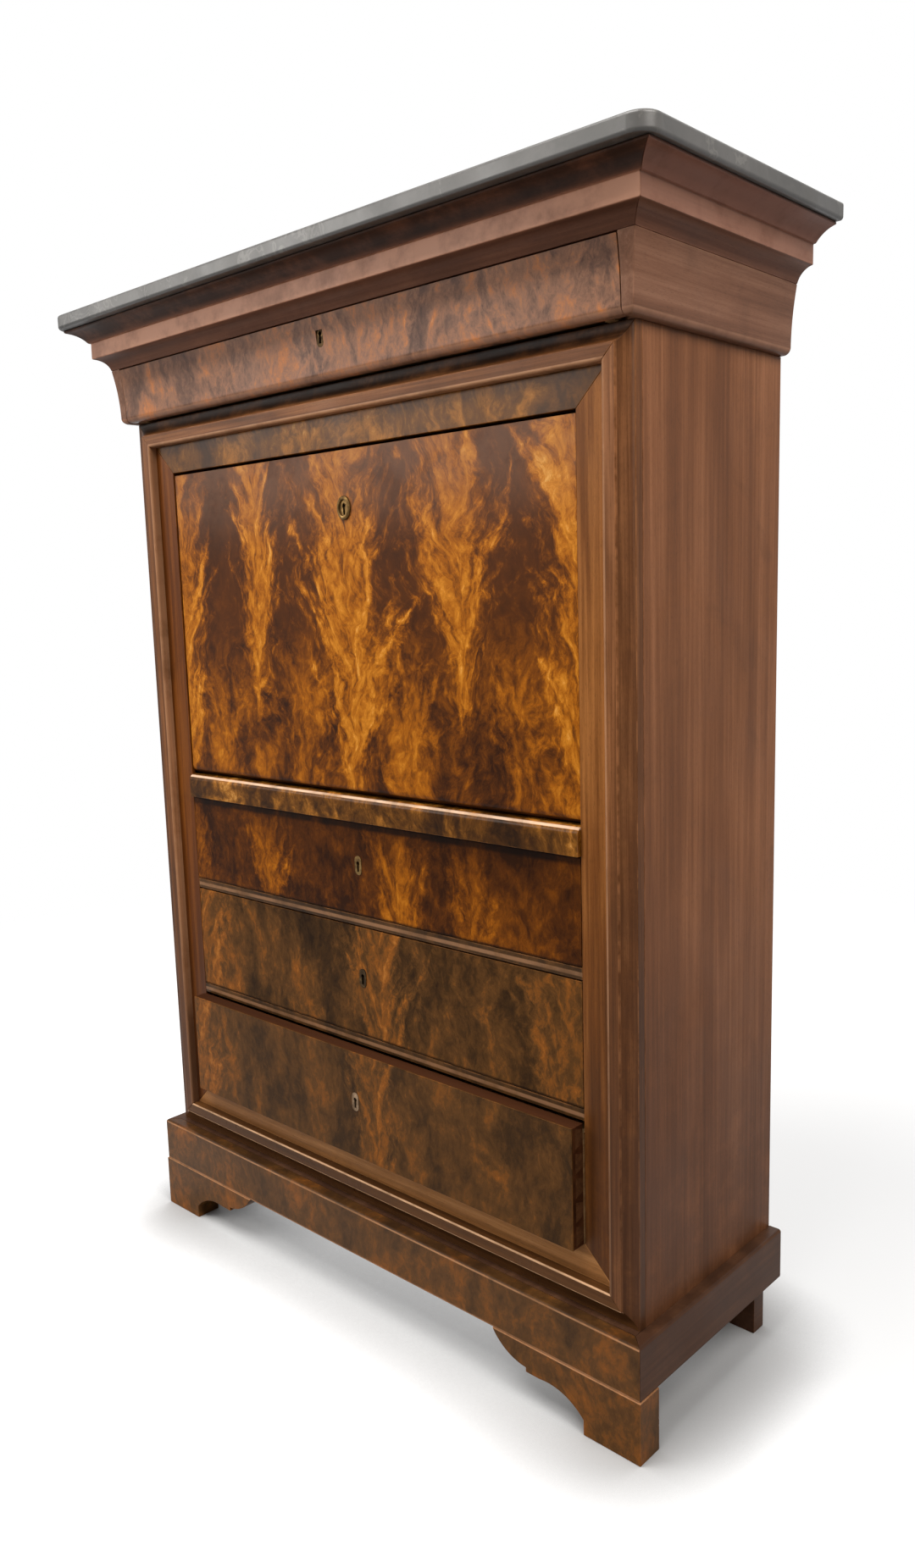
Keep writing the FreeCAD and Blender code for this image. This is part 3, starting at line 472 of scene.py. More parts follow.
def wood_finish(name, turn, tones, gloss, bands=(), sides=None):
    """Straight-grained wood: dark, middle and light tones, with a roughness for the polish.

    Beyond the sides distance from the middle, the boards run from front to back.
    """
    material, tree, shader, place = new_finish(name)
    along = stretched(tree, place, (1, 1, 1), turn)
    if sides is not None:
        across = calc(tree, "ABSOLUTE", add(tree, "SeparateXYZ", {0: place}).outputs["X"])
        lengthwise = stretched(tree, place, (1, 1, 1), ALONG_Y)
        sockets = {0: calc(tree, "GREATER_THAN", across, sides), 4: along, 5: lengthwise}
        along = add(tree, "Mix", sockets, data_type="VECTOR").outputs[1]
    grain = use_group(tree, GRAIN, {"Vector": along})
    polish = use_group(tree, POLISH, {"Vector": place})
    lines = calc(tree, "MULTIPLY", grain.outputs["Line"], 1 - STRIPE_SHARE)
    mix = calc(tree, "MULTIPLY_ADD", grain.outputs["Stripe"], STRIPE_SHARE, lines)
    cloud = noise(tree, stretched(tree, along, (1.5, 5, 5)), 1.0, 4.0, 0.6, 0.5)
    spread = eased_range(tree, swung(tree, cloud, 0.6, mix), 0.22, 0.78)
    dark, middle, light = tones
    colour = ramp(tree, spread, [(0.0, dark), (0.5, middle), (1.0, light)])
    in_pores = [level * 0.45 for level in dark]
    dirty = [level * 0.6 for level in dark]
    bare = [min(255, level * 1.12 + 6) for level in light]
    for mask, share, shade in ((grain.outputs["Pore"], PORE_SHARE, in_pores),
                               (polish.outputs["Grime"], GRIME_SHARE, dirty),
                               (polish.outputs["Worn"], WORN_SHARE, bare)):
        colour = laid(tree, colour, mask, share, shade)
    colour = banded(tree, place, colour, bands)
    rough = eased_range(tree, polish.outputs["Smear"], 0.25, 0.75, gloss - 0.04, gloss + 0.06)
    height = calc(tree, "MULTIPLY_ADD", grain.outputs["Pore"], -0.6, grain.outputs["Line"])
    dress(tree, shader, colour, rough, height, 0.10, 0.0006)
    shader.inputs["Specular IOR Level"].default_value = WAX_SHINE
    return material


print("wood builder ready, wax shine", WAX_SHINE)

# %% [markdown]
# ## Painted highlights and shade on the mouldings
# Each band names its axis, where it begins and ends, its soft border, its strength and its tone. The fillet
# of the cornice is pale from rubbing and from a painted highlight. Painted shade lies under the slab, the
# fillet and the frieze and in the hollows, painted highlights run along crests and edges, and the whole
# desk is painted darker near the floor.

# %% Bands of painted highlight and shade
# Tones of painted light: the pale ones are highlights on crests and edges, the dark ones shade in hollows
# and under overhangs.
HIGHLIGHT_TONE = (196, 146, 108)
HIGHLIGHT_LINE_TONE = (226, 180, 138)
HOLLOW_SHADE_TONE = (44, 26, 17)
SHADE_TONE = (62, 39, 28)
# Painted shade: uprights and sides grow darker towards the floor.
SHADE_NEAR_FLOOR = ("Z", -0.1, 0.15, 0.55, 0.55, (60, 38, 27))
# The pale fillet is partly rubbed and partly a painted highlight, weaker on the side returns.
FILLET_RUB_AND_HIGHLIGHT = ("Z", 1.3885, 1.4105, 0.0012, 0.85, (208, 154, 126))
FILLET_RETURN_RUB_AND_HIGHLIGHT = ("Z", 1.3885, 1.4105, 0.0012, 0.5, (176, 130, 110))
# Painted highlight on the rounded foot of the frieze.
FRIEZE_FOOT_HIGHLIGHT = ("Z", 1.2925, 1.2965, 0.002, 0.40, (196, 148, 120))
# Painted shade in the cove under the fillet, weaker on the returns.
UNDER_FILLET_SHADE = ("Z", 1.365, 1.3850, 0.003, 0.42, SHADE_TONE)
UNDER_FILLET_RETURN_SHADE = ("Z", 1.365, 1.3850, 0.003, 0.12, SHADE_TONE)
# Painted shadow under the overhang of the marble slab, on the front here and on the returns two lines
# below.
UNDER_SLAB_SHADOW = ("Z", 1.4170, 1.4310, 0.008, 0.85, (26, 16, 11))
# Painted light on the cove of the side returns, where the side lamp falls.
COVE_RETURN_LIGHT = ("Z", 1.4120, 1.4310, 0.003, 0.75, (156, 108, 90))
UNDER_SLAB_RETURN_SHADOW = ("Z", 1.4280, 1.4310, 0.0015, 0.65, (22, 14, 10))
# Painted shadow cast by the frieze on the top strip.
UNDER_FRIEZE_SHADOW = ("Z", 1.2760, 1.3000, 0.007, 0.92, (20, 11, 7))
# Painted shade on the top ledge of the plinth's sides.
PLINTH_LEDGE_SHADE = ("Z", 0.1490, 0.1520, 0.001, 0.6, (46, 29, 20))
# Painted highlight along the crest of the side strips.
STRIP_CREST_HIGHLIGHT = ("X", 0.4235, 0.4275, 0.001, 0.45, HIGHLIGHT_TONE)
# Painted shade in the hollow of the side strips.
STRIP_HOLLOW_SHADE = ("X", 0.4435, 0.4605, 0.002, 0.4, HOLLOW_SHADE_TONE)
# Painted highlights on the crest of the top strip and on the nose and edge of the bottom strip.
STRIP_TOP_CREST_HIGHLIGHT = ("Z", 1.2515, 1.2560, 0.001, 0.55, HIGHLIGHT_TONE)
STRIP_FOOT_CREST_HIGHLIGHT = ("Z", 0.1856, 0.1871, 0.0006, 0.8, HIGHLIGHT_LINE_TONE)
STRIP_FOOT_EDGE_HIGHLIGHT = ("Z", 0.1690, 0.1708, 0.0008, 0.8, HIGHLIGHT_LINE_TONE)
# Painted shade in the hollow of the bottom strip.
STRIP_FOOT_HOLLOW_SHADE = ("Z", 0.152, 0.166, 0.002, 0.4, HOLLOW_SHADE_TONE)
print("bands of painted highlight and shade named")

# %% [markdown]
# ## Mahogany of the frame, the sides and the cornice
# The tones go from dark lines to light stripes, and each piece has faded in its own way, except the left
# stile, whose darker tones are painted shade. The number after the tones is the roughness of the polish.

# %% Mahogany of the outside
FRAME_TONES = ((64, 36, 13), (112, 65, 26), (162, 104, 52))
# Painted shade: the left stile is a darker copy of the frame's tones.
SHADED_TONES = ((62, 31, 8), (94, 49, 15), (132, 76, 27))
RAIL_TONES = ((90, 54, 24), (132, 84, 41), (172, 116, 64))
FADED_TONES = ((112, 72, 38), (156, 106, 60), (194, 140, 88))
SIDE_TONES = ((98, 60, 36), (125, 80, 51), (150, 100, 68))
PLINTH_TONES = ((70, 45, 29), (94, 62, 42), (118, 82, 58))
FRIEZE_SIDE_TONES = ((92, 60, 43), (118, 81, 61), (142, 103, 81))
CROWN_TONES = ((86, 54, 39), (112, 72, 53), (136, 92, 70))
STRIP_TONES = ((58, 34, 17), (109, 67, 37), (160, 106, 66))
STRIP_FOOT_TONES = ((66, 40, 18), (94, 59, 29), (124, 82, 46))
mahogany_across = wood_finish("mahogany_across", ALONG_X, RAIL_TONES, 0.36)
frame_bottom = wood_finish("frame_bottom", ALONG_X, FADED_TONES, 0.36)
mahogany_upright = wood_finish("mahogany_upright", ALONG_Z, FRAME_TONES, 0.36, [SHADE_NEAR_FLOOR])
stile_shaded = wood_finish("stile_shaded", ALONG_Z, SHADED_TONES, 0.36, [SHADE_NEAR_FLOOR])
mahogany_side = wood_finish("mahogany_side", ALONG_Z, SIDE_TONES, 0.42, [SHADE_NEAR_FLOOR])
mahogany_return = wood_finish("mahogany_return", ALONG_Y, PLINTH_TONES, 0.40, [SHADE_NEAR_FLOOR, PLINTH_LEDGE_SHADE])
frieze_return = wood_finish("frieze_return", ALONG_Y, FRIEZE_SIDE_TONES, 0.40, [FRIEZE_FOOT_HIGHLIGHT])
mahogany_crown = wood_finish("mahogany_crown", ALONG_X, CROWN_TONES, 0.38,
                             [FILLET_RUB_AND_HIGHLIGHT, UNDER_FILLET_SHADE, UNDER_SLAB_SHADOW])
mahogany_crown_return = wood_finish("mahogany_crown_return", ALONG_Y, CROWN_TONES, 0.38,
                                    [FILLET_RETURN_RUB_AND_HIGHLIGHT, UNDER_FILLET_RETURN_SHADE, COVE_RETURN_LIGHT, UNDER_SLAB_RETURN_SHADOW])
strip_upright = wood_finish("strip_upright", ALONG_Z, STRIP_TONES, 0.34,
                            [STRIP_CREST_HIGHLIGHT, STRIP_HOLLOW_SHADE, SHADE_NEAR_FLOOR])
strip_top = wood_finish("strip_top", ALONG_X, STRIP_TONES, 0.34, [STRIP_TOP_CREST_HIGHLIGHT, UNDER_FRIEZE_SHADOW])
strip_bottom = wood_finish("strip_bottom", ALONG_X, STRIP_FOOT_TONES, 0.28,
                           [STRIP_FOOT_CREST_HIGHLIGHT, STRIP_FOOT_EDGE_HIGHLIGHT, STRIP_FOOT_HOLLOW_SHADE])
print("outside mahogany made")

# %% [markdown]
# ## Plain wood inside
# Drawer boxes and back boards are a paler wood without polish. The sides of a box run from front to back,
# so its finish turns the grain beyond a given distance from the middle. The fitting behind the fall front
# is a lighter, polished wood.

# %% Wood of the inside
BOX_TONES = ((104, 76, 48), (138, 105, 70), (166, 132, 92))
BOARD_TONES = ((112, 82, 52), (142, 108, 72), (168, 134, 94))
BACK_TONES = ((82, 62, 44), (108, 84, 60), (134, 106, 78))
NEST_TONES = ((124, 76, 38), (156, 100, 54), (184, 128, 76))
LONG_BOX_SIDE = 0.3688
FRIEZE_BOX_SIDE = 0.4288
plain_wood = wood_finish("plain_wood", ALONG_X, BOARD_TONES, 0.62)
plain_wood_upright = wood_finish("plain_wood_upright", ALONG_Z, BACK_TONES, 0.7)
drawer_box_wood = wood_finish("drawer_box_wood", ALONG_X, BOX_TONES, 0.62, sides=LONG_BOX_SIDE)
frieze_box_wood = wood_finish("frieze_box_wood", ALONG_X, BOX_TONES, 0.62, sides=FRIEZE_BOX_SIDE)
small_box_wood = wood_finish("small_box_wood", ALONG_Y, BOX_TONES, 0.62)
interior_wood = wood_finish("interior_wood", ALONG_X, NEST_TONES, 0.40)
interior_upright = wood_finish("interior_upright", ALONG_Z, NEST_TONES, 0.40)
print("inside wood made")

# %% [markdown]
# ## Flame veneer
# The fall front and the drawers are faced with veneer cut where a trunk forks. The grain there rises in
# plumes, and fine streaks fan out of each like the barbs of a feather. They climb steeply at the spine and
# lean outwards, which is a noise read along the height minus a bent distance.

# %% Feather plume group
BARB_BEND = 0.72
BARB_CLIMB = 24
BARB_REACH = 16


def feather_plume():
    values = ("Crinkle", "Centre", "Foot", "Rise", "Spread", "Reach", "Strength")
    tree, given, result = new_group("Feather plume", values, ("Glow", "Streak"))
    axes = add(tree, "SeparateXYZ", {0: given.outputs["Vector"]})
    aside = calc(tree, "SUBTRACT", axes.outputs["X"], given.outputs["Centre"])
    away = calc(tree, "ABSOLUTE", aside)
    above = calc(tree, "SUBTRACT", axes.outputs["Z"], given.outputs["Foot"])
    climb = calc(tree, "SUBTRACT", above, calc(tree, "POWER", away, BARB_BEND))
    side = calc(tree, "MULTIPLY_ADD", calc(tree, "SIGN", aside), 3.7, given.outputs["Centre"])
    barbs = add(tree, "CombineXYZ", {0: calc(tree, "MULTIPLY", climb, BARB_CLIMB),
                                     1: calc(tree, "MULTIPLY", away, BARB_REACH), 2: side}).outputs[0]
    streak = noise(tree, barbs, 1.0, 5.0, 0.60, 0.3)
    opening = eased_range(tree, above, 0.0, given.outputs["Rise"], 0.12, 1.0)
    width = calc(tree, "MULTIPLY", opening, given.outputs["Spread"])
    ragged = swung(tree, streak, -2.6, calc(tree, "DIVIDE", away, width))
    ragged = swung(tree, given.outputs["Crinkle"], -1.5, ragged)
    body = eased_range(tree, ragged, 0.20, 1.25, 1.0, 0.0)
    start = eased_range(tree, above, -0.02, 0.06)
    dying = calc(tree, "MULTIPLY", given.outputs["Reach"], 0.7)
    finish = eased_range(tree, above, dying, given.outputs["Reach"], 1.0, 0.0)
    present = calc(tree, "MULTIPLY", start, finish)
    glow = calc(tree, "MULTIPLY", calc(tree, "MULTIPLY", body, present), given.outputs["Strength"])
    tree.links.new(glow, result.inputs["Glow"])
    tree.links.new(streak, result.inputs["Streak"])
    return tree


PLUME = feather_plume()
print("group:", PLUME.name)

# %% [markdown]
# ## Lapped dovetails
# The sides of a long drawer are let into the ends of its front as a row of tails that grow wider towards
# the veneer. The end is stained, so the joint shows only as two browns. The mask compares a saw-tooth along
# the height with a width that grows with the depth into the front.

# %% Dovetail group
TAIL_LENGTH = 0.015
TAIL_NECK = 0.0085
TAIL_FLARE = 0.30


def dovetails():
    tree, given, result = new_group("Dovetails", ("End", "Joint", "Low", "Pitch"), ("Tail",))
    axes = add(tree, "SeparateXYZ", {0: given.outputs["Vector"]})
    inside = calc(tree, "SUBTRACT", given.outputs["Joint"], axes.outputs["Y"])
    above = calc(tree, "SUBTRACT", axes.outputs["Z"], given.outputs["Low"])
    turn = calc(tree, "FRACT", calc(tree, "DIVIDE", above, given.outputs["Pitch"]))
    aside = calc(tree, "ABSOLUTE", calc(tree, "SUBTRACT", turn, 0.5))
    aside = calc(tree, "MULTIPLY", aside, given.outputs["Pitch"])
    width = calc(tree, "MULTIPLY_ADD", inside, TAIL_FLARE, TAIL_NECK)
    tail = calc(tree, "LESS_THAN", aside, width)
    tail = calc(tree, "MULTIPLY", tail, calc(tree, "LESS_THAN", inside, TAIL_LENGTH))
    on_end = calc(tree, "GREATER_THAN", calc(tree, "ABSOLUTE", axes.outputs["X"]), given.outputs["End"])
    tree.links.new(calc(tree, "MULTIPLY", tail, on_end), result.inputs["Tail"])
    return tree


DOVETAILS = dovetails()
print("group:", DOVETAILS.name)

# %% [markdown]
# ## How light the veneer is
# A restless ground is laid first, and each plume is laid over it. The coordinates are pushed about by noise
# before that, since no plume is straight.

# %% Light and dark of the veneer
STRONG_DRIFT = ((4.5, 0.095), (15.0, 0.036), (60.0, 0.010))
CALM_DRIFT = ((4.5, 0.050), (15.0, 0.018), (60.0, 0.010))


def drifted(tree, place, strengths):
    """Coordinates pushed about by noises of (scale, distance)."""
    for scale, distance in strengths:
        push = add(tree, "TexNoise", {"Vector": place, "Scale": scale, "Detail": 2.0}).outputs["Color"]
        push = add(tree, "VectorMath", {0: push, 1: (0.5, 0.5, 0.5)}, operation="SUBTRACT").outputs[0]
        push = add(tree, "VectorMath", {0: push, "Scale": distance}, operation="SCALE").outputs[0]
        place = add(tree, "VectorMath", {0: place, 1: push}, operation="ADD").outputs[0]
    return place


def veneer_light(tree, wavy, crinkle, plumes, ground, mottle):
    """How light the veneer is, from 0 to 1: plumes over a mottled ground."""
    low, low_light, high, high_light = ground
    patches = noise(tree, stretched(tree, wavy, (15, 15, 8)), 1.0, 3.0, 0.6, 0.6)
    height = add(tree, "SeparateXYZ", {0: wavy}).outputs["Z"]
    height = swung(tree, patches, (high - low) * 1.6, height)
    base = eased_range(tree, height, low, high, low_light, high_light)
    restless = eased_range(tree, height, low, high, *mottle)
    uneven = calc(tree, "ADD", calc(tree, "MULTIPLY_ADD", patches, 1.3, crinkle), -1.15)
    light = calc(tree, "MULTIPLY_ADD", uneven, restless, base)
    for centre, foot, rise, spread, reach, strength in plumes:
        sockets = {"Vector": wavy, "Crinkle": crinkle, "Centre": centre, "Foot": foot, "Rise": rise,
                   "Spread": spread, "Reach": reach, "Strength": strength}
        plume = use_group(tree, PLUME, sockets)
        lit = swung(tree, crinkle, 1.1, swung(tree, plume.outputs["Streak"], 1.1, 0.60))
        gap = calc(tree, "SUBTRACT", lit, light)
        light = calc(tree, "MULTIPLY_ADD", gap, plume.outputs["Glow"], light)
    return light


print("veneer light ready")

# %% [markdown]
# ## The board behind the veneer
# Veneer is thin. Past a given depth the finish changes to plain dark board, with the dovetails of the
# drawer sides on its ends.

# %% Board behind the veneer
CORE_STOPS = [(0.3, (44, 23, 12)), (0.5, (60, 33, 18)), (0.7, (76, 44, 24))]
TAIL_STOPS = [(0.3, (62, 38, 22)), (0.7, (92, 60, 37))]
DRAWER_END = 0.3802


def core_board(tree, place, joint):
    """The colour of the board; a joint gives where the tails begin, their foot and their pitch."""
    grain = use_group(tree, GRAIN, {"Vector": place})
    board = ramp(tree, grain.outputs["Stripe"], CORE_STOPS)
    if joint is None:
        return board
    back, low_tail, pitch = joint
    sockets = {"Vector": place, "End": DRAWER_END, "Joint": back, "Low": low_tail, "Pitch": pitch}
    tails = use_group(tree, DOVETAILS, sockets)
    return blended(tree, tails.outputs["Tail"], board, ramp(tree, grain.outputs["Line"], TAIL_STOPS))


print("board ready, drawer ends at", DRAWER_END)

# %% [markdown]
# ## The veneer as a finish
# A ramp from burnt brown to gold turns the lightness into colour. Pores and wear on the arrises go over it,
# then bands of painted highlight, sheen and shade. The polish is a little smeared.

# %% Veneer builder
FLAME_STOPS = [(0.0, (44, 21, 6)), (0.20, (78, 40, 10)), (0.40, (118, 64, 13)), (0.58, (162, 93, 18)),
               (0.78, (200, 127, 36)), (1.0, (232, 174, 92))]


def flame_finish(name, plumes, ground, mottle, stops=FLAME_STOPS, gloss=0.30, shine=0.10, bands=(),
                 core=None, drift=STRONG_DRIFT, joint=None):
    """Veneer with plumes (centre, foot, rise, spread, reach, strength) over a mottled ground.

    The ground gives a height and how light the veneer is there, at the foot and at the head of the panel.
    The two mottles say how restless it is at those heights. Behind the core depth the board is plain.
    """
    material, tree, shader, place = new_finish(name)
    wavy = drifted(tree, place, drift)
    crinkle = noise(tree, stretched(tree, wavy, (80, 80, 46)), 1.0, 6.0, 0.74, 0.25)
    colour = ramp(tree, veneer_light(tree, wavy, crinkle, plumes, ground, mottle), stops)
    grain = use_group(tree, GRAIN, {"Vector": stretched(tree, wavy, (1, 1, 1), ALONG_Z)})
    polish = use_group(tree, POLISH, {"Vector": place})
    colour = laid(tree, colour, grain.outputs["Pore"], 0.30, (40, 20, 8))
    colour = laid(tree, colour, polish.outputs["Worn"], 0.3, (160, 104, 58))
    if core is not None:
        depth = add(tree, "SeparateXYZ", {0: place}).outputs["Y"]
        behind = calc(tree, "GREATER_THAN", depth, core)
        colour = blended(tree, behind, colour, core_board(tree, place, joint))
    colour = banded(tree, place, colour, bands)
    rough = eased_range(tree, polish.outputs["Smear"], 0.25, 0.75, gloss - 0.03, gloss + 0.06)
    dress(tree, shader, colour, rough, crinkle, 0.06, 0.0005)
    shader.inputs["Specular IOR Level"].default_value = shine
    return material


print("veneer builder ready,", len(FLAME_STOPS), "stops")

# %% [markdown]
# ## Fall front and drawers
# Leaves of one log are laid side by side, so the plumes of the fall front stand in a row and the drawers
# carry them on. The lower drawers have gone olive and dull. Dark bands along the drawer edges are painted
# shadow under the rail and in the gaps, and a pale band at the top of the fall front is a painted sheen.

# %% Veneer of the fall front and the drawers
TALL = 9
FALL_CORE, DRAWER_CORE, LOWER_CORE = -0.1042, -0.1062, -0.1302
# Painted shadow: the near-black tone of the bands below.
SHADOW_TONE = (22, 11, 6)
# A painted sheen, pale and greyish, across the top of the fall front.
PAINTED_SHEEN = ("Z", 1.19, 1.25, 0.12, 0.34, (140, 106, 86))
# Painted shadow under the fall rail on the upper drawer, and in the gaps above the dividers.
UNDER_RAIL_SHADOW = ("Z", 0.7040, 0.7200, 0.005, 0.85, SHADOW_TONE)
UPPER_FOOT_SHADOW = ("Z", 0.5700, 0.5812, 0.002, 0.7, SHADOW_TONE)
MIDDLE_FOOT_SHADOW = ("Z", 0.4000, 0.4062, 0.002, 0.7, SHADOW_TONE)
OLIVE_STOPS = [(0.0, (38, 24, 11)), (0.25, (64, 42, 20)), (0.50, (95, 62, 30)), (0.72, (138, 82, 32)),
               (1.0, (190, 122, 54))]
fall_flame = flame_finish("flame_fall", [
    (-0.10, 0.64, 0.25, 0.060, 0.36, 0.5), (0.10, 0.64, 0.25, 0.060, 0.38, 0.5),
    (0.29, 0.64, 0.25, 0.055, 0.36, 0.5), (-0.28, 0.60, 0.25, 0.055, 0.36, 0.4),
    (-0.375, 0.62, 0.40, 0.066, TALL, 0.95), (-0.195, 0.820, 0.26, 0.056, TALL, 0.95),
    (0.004, 0.66, 0.38, 0.092, TALL, 1.0), (0.192, 0.820, 0.26, 0.070, TALL, 0.95),
    (0.380, 0.62, 0.42, 0.070, TALL, 1.0)],
    (0.84, 0.29, 1.02, 0.15), (1.20, 0.34), shine=0.06, bands=[PAINTED_SHEEN], core=FALL_CORE)
# The upper drawer's ground grows darker towards its top, partly as painted shade under the rail.
upper_flame = flame_finish("flame_upper_drawer", [
    (-0.38, 0.38, 0.30, 0.040, 0.40, 0.35), (-0.195, 0.38, 0.30, 0.044, 0.36, 0.65),
    (0.075, 0.38, 0.30, 0.054, 0.37, 0.68), (0.21, 0.40, 0.26, 0.038, 0.33, 0.58)],
    (0.57, 0.21, 0.70, 0.12), (1.0, 0.8), shine=0.04, bands=[UNDER_RAIL_SHADOW, UPPER_FOOT_SHADOW],
    core=DRAWER_CORE, drift=CALM_DRIFT, joint=(-0.086, 0.5802, 0.0325))
middle_flame = flame_finish("flame_middle_drawer", [
    (-0.375, 0.20, 0.34, 0.070, TALL, 1.0), (0.035, 0.20, 0.34, 0.068, TALL, 0.95),
    (0.35, 0.24, 0.3, 0.060, TALL, 0.7)],
    (0.40, 0.39, 0.58, 0.34), (1.1, 1.1), OLIVE_STOPS, shine=0.03, bands=[MIDDLE_FOOT_SHADOW],
    core=DRAWER_CORE, drift=CALM_DRIFT, joint=(-0.086, 0.4052, 0.0314))
lower_flame = flame_finish("flame_lower_drawer", [
    (-0.375, 0.02, 0.34, 0.066, TALL, 0.95), (0.035, 0.02, 0.34, 0.050, TALL, 0.85)],
    (0.22, 0.42, 0.40, 0.38), (0.9, 0.9), OLIVE_STOPS, shine=0.04,
    core=LOWER_CORE, drift=CALM_DRIFT, joint=(-0.110, 0.2312, 0.0312))
print("veneer of the fall front and the drawers made")

# %% [markdown]
# ## Frieze, rails and plinth
# The narrow pieces are veneered with offcuts, which show mottle and no whole plume. The frieze is greyer,
# with three broad glows and painted shade along its head. The nosed rail, the dividers and the plinth carry
# painted highlight lines, and the plinth's top ledge has painted shade.

# %% Veneer of the narrow pieces
FRIEZE_STOPS = [(0.0, (62, 39, 29)), (0.3, (106, 74, 57)), (0.55, (146, 102, 76)), (0.78, (190, 116, 62)),
                (1.0, (216, 158, 106))]
RAIL_STOPS = [(0.0, (40, 22, 6)), (0.3, (70, 41, 12)), (0.55, (104, 64, 20)), (0.78, (156, 100, 36)),
              (1.0, (210, 154, 80))]
# Painted shade at the head of the frieze, under the cornice.
FRIEZE_HEAD_SHADE = ("Z", 1.352, 1.38, 0.02, 0.35, SHADE_TONE)
# Painted highlight line at the joint of plinth and feet.
FOOT_LINE_HIGHLIGHT = ("Z", 0.0805, 0.0830, 0.0008, 0.5, HIGHLIGHT_TONE)
# Painted shade on the plinth's top ledge.
LEDGE_SHADE = ("Z", 0.1490, 0.1520, 0.001, 0.75, (40, 25, 15))
# Painted highlight line on the plinth's top edge.
LEDGE_LINE_HIGHLIGHT = ("Z", 0.1462, 0.1476, 0.0006, 0.55, HIGHLIGHT_TONE)
# Painted highlight on the rail's nosing.
NOSE_HIGHLIGHT = ("Z", 0.7445, 0.7462, 0.0010, 0.75, (236, 200, 170))
# Painted highlight lines along the dividers.
UPPER_DIVIDER_HIGHLIGHT = ("Z", 0.5690, 0.5725, 0.0015, 0.40, HIGHLIGHT_TONE)
LOWER_DIVIDER_HIGHLIGHT = ("Z", 0.3940, 0.3975, 0.0015, 0.40, HIGHLIGHT_TONE)
frieze_flame = flame_finish("flame_frieze", [
    (-0.13, 1.12, 0.20, 0.11, TALL, 0.55), (0.07, 1.12, 0.20, 0.10, TALL, 0.75),
    (0.36, 1.12, 0.20, 0.12, TALL, 0.7)],
    (1.29, 0.42, 1.37, 0.36), (1.2, 1.2), FRIEZE_STOPS, bands=[FRIEZE_FOOT_HIGHLIGHT, FRIEZE_HEAD_SHADE],
    drift=CALM_DRIFT)
cross_veneer = flame_finish("cross_veneer", [], (0.0, 0.54, 0.16, 0.46), (0.8, 0.8), OLIVE_STOPS,
                            shine=0.08, bands=[FOOT_LINE_HIGHLIGHT, LEDGE_SHADE, LEDGE_LINE_HIGHLIGHT], drift=CALM_DRIFT)
rail_veneer = flame_finish("rail_veneer", [], (0.70, 0.42, 0.75, 0.46), (1.5, 1.5), RAIL_STOPS,
                           gloss=0.20, shine=0.07, bands=[NOSE_HIGHLIGHT])
divider_veneer = flame_finish("divider_veneer", [], (0.3, 0.26, 0.7, 0.26), (0.7, 0.7), OLIVE_STOPS,
                              shine=0.08, bands=[UPPER_DIVIDER_HIGHLIGHT, LOWER_DIVIDER_HIGHLIGHT])
top_rail_veneer = flame_finish("top_rail_veneer", [], (1.2, 0.48, 1.25, 0.56), (1.0, 1.0), RAIL_STOPS)
print("narrow veneer made")

# %% [markdown]
# ## Marble
# The slab on top is grey marble with faint clouds, pale veins and fine specks. A vein is drawn where a
# noise crosses its middle value, which gives long thin lines.

# %% Marble
def marble_finish():
    material, tree, shader, place = new_finish("grey_marble")
    sockets = {"Vector": place, "Scale": 4.0, "Detail": 5.0, "Roughness": 0.6}
    drift = add(tree, "TexNoise", sockets).outputs["Color"]
    wavy = add(tree, "VectorMath", {0: place, 1: drift}, operation="ADD").outputs[0]
    cloud = noise(tree, wavy, 3.2, 7.0, 0.6, 0.6)
    colour = ramp(tree, cloud, [(0.28, (54, 52, 50)), (0.5, (72, 70, 67)), (0.72, (90, 87, 84))])
    crease = calc(tree, "ABSOLUTE", calc(tree, "SUBTRACT", noise(tree, wavy, 2.1, 6.0, 0.55, 0.9), 0.5))
    vein = eased_range(tree, crease, 0.0, 0.018, 0.16, 0.0)
    colour = blended(tree, vein, colour, tone(160, 157, 150))
    speck = eased_range(tree, noise(tree, place, 420, 2.0), 0.58, 0.72, 0.0, 0.4)
    colour = blended(tree, speck, colour, tone(70, 70, 68))
    polish = use_group(tree, POLISH, {"Vector": place})
    colour = laid(tree, colour, polish.outputs["Grime"], 0.25, (70, 66, 58))
    rough = eased_range(tree, polish.outputs["Smear"], 0.3, 0.7, 0.34, 0.5)
    dress(tree, shader, colour, rough, cloud, 0.08, 0.0006)
    return material


marble = marble_finish()
print("stone:", marble.name)

# %% [markdown]
# ## Brass
# The keyhole plates, pivots, stays and screws are old brass, stained brown. The same builder makes the
# gilding of the leather and the pale inlay of the lowest keyhole.

# %% Brass
def brass_finish(name, tones, gloss):
    material, tree, shader, place = new_finish(name)
    stain = noise(tree, place, 95, 5.0, 0.62, 0.5)
    dark, middle, light = tones
    colour = ramp(tree, stain, [(0.30, dark), (0.52, middle), (0.74, light)])
    rough = eased_range(tree, stain, 0.3, 0.7, gloss + 0.22, gloss)
    scratch = noise(tree, stretched(tree, place, (900, 60, 220)), 1.0, 3.0)
    dress(tree, shader, colour, rough, scratch, 0.12, 0.0002)
    shader.inputs["Metallic"].default_value = 1
    return material


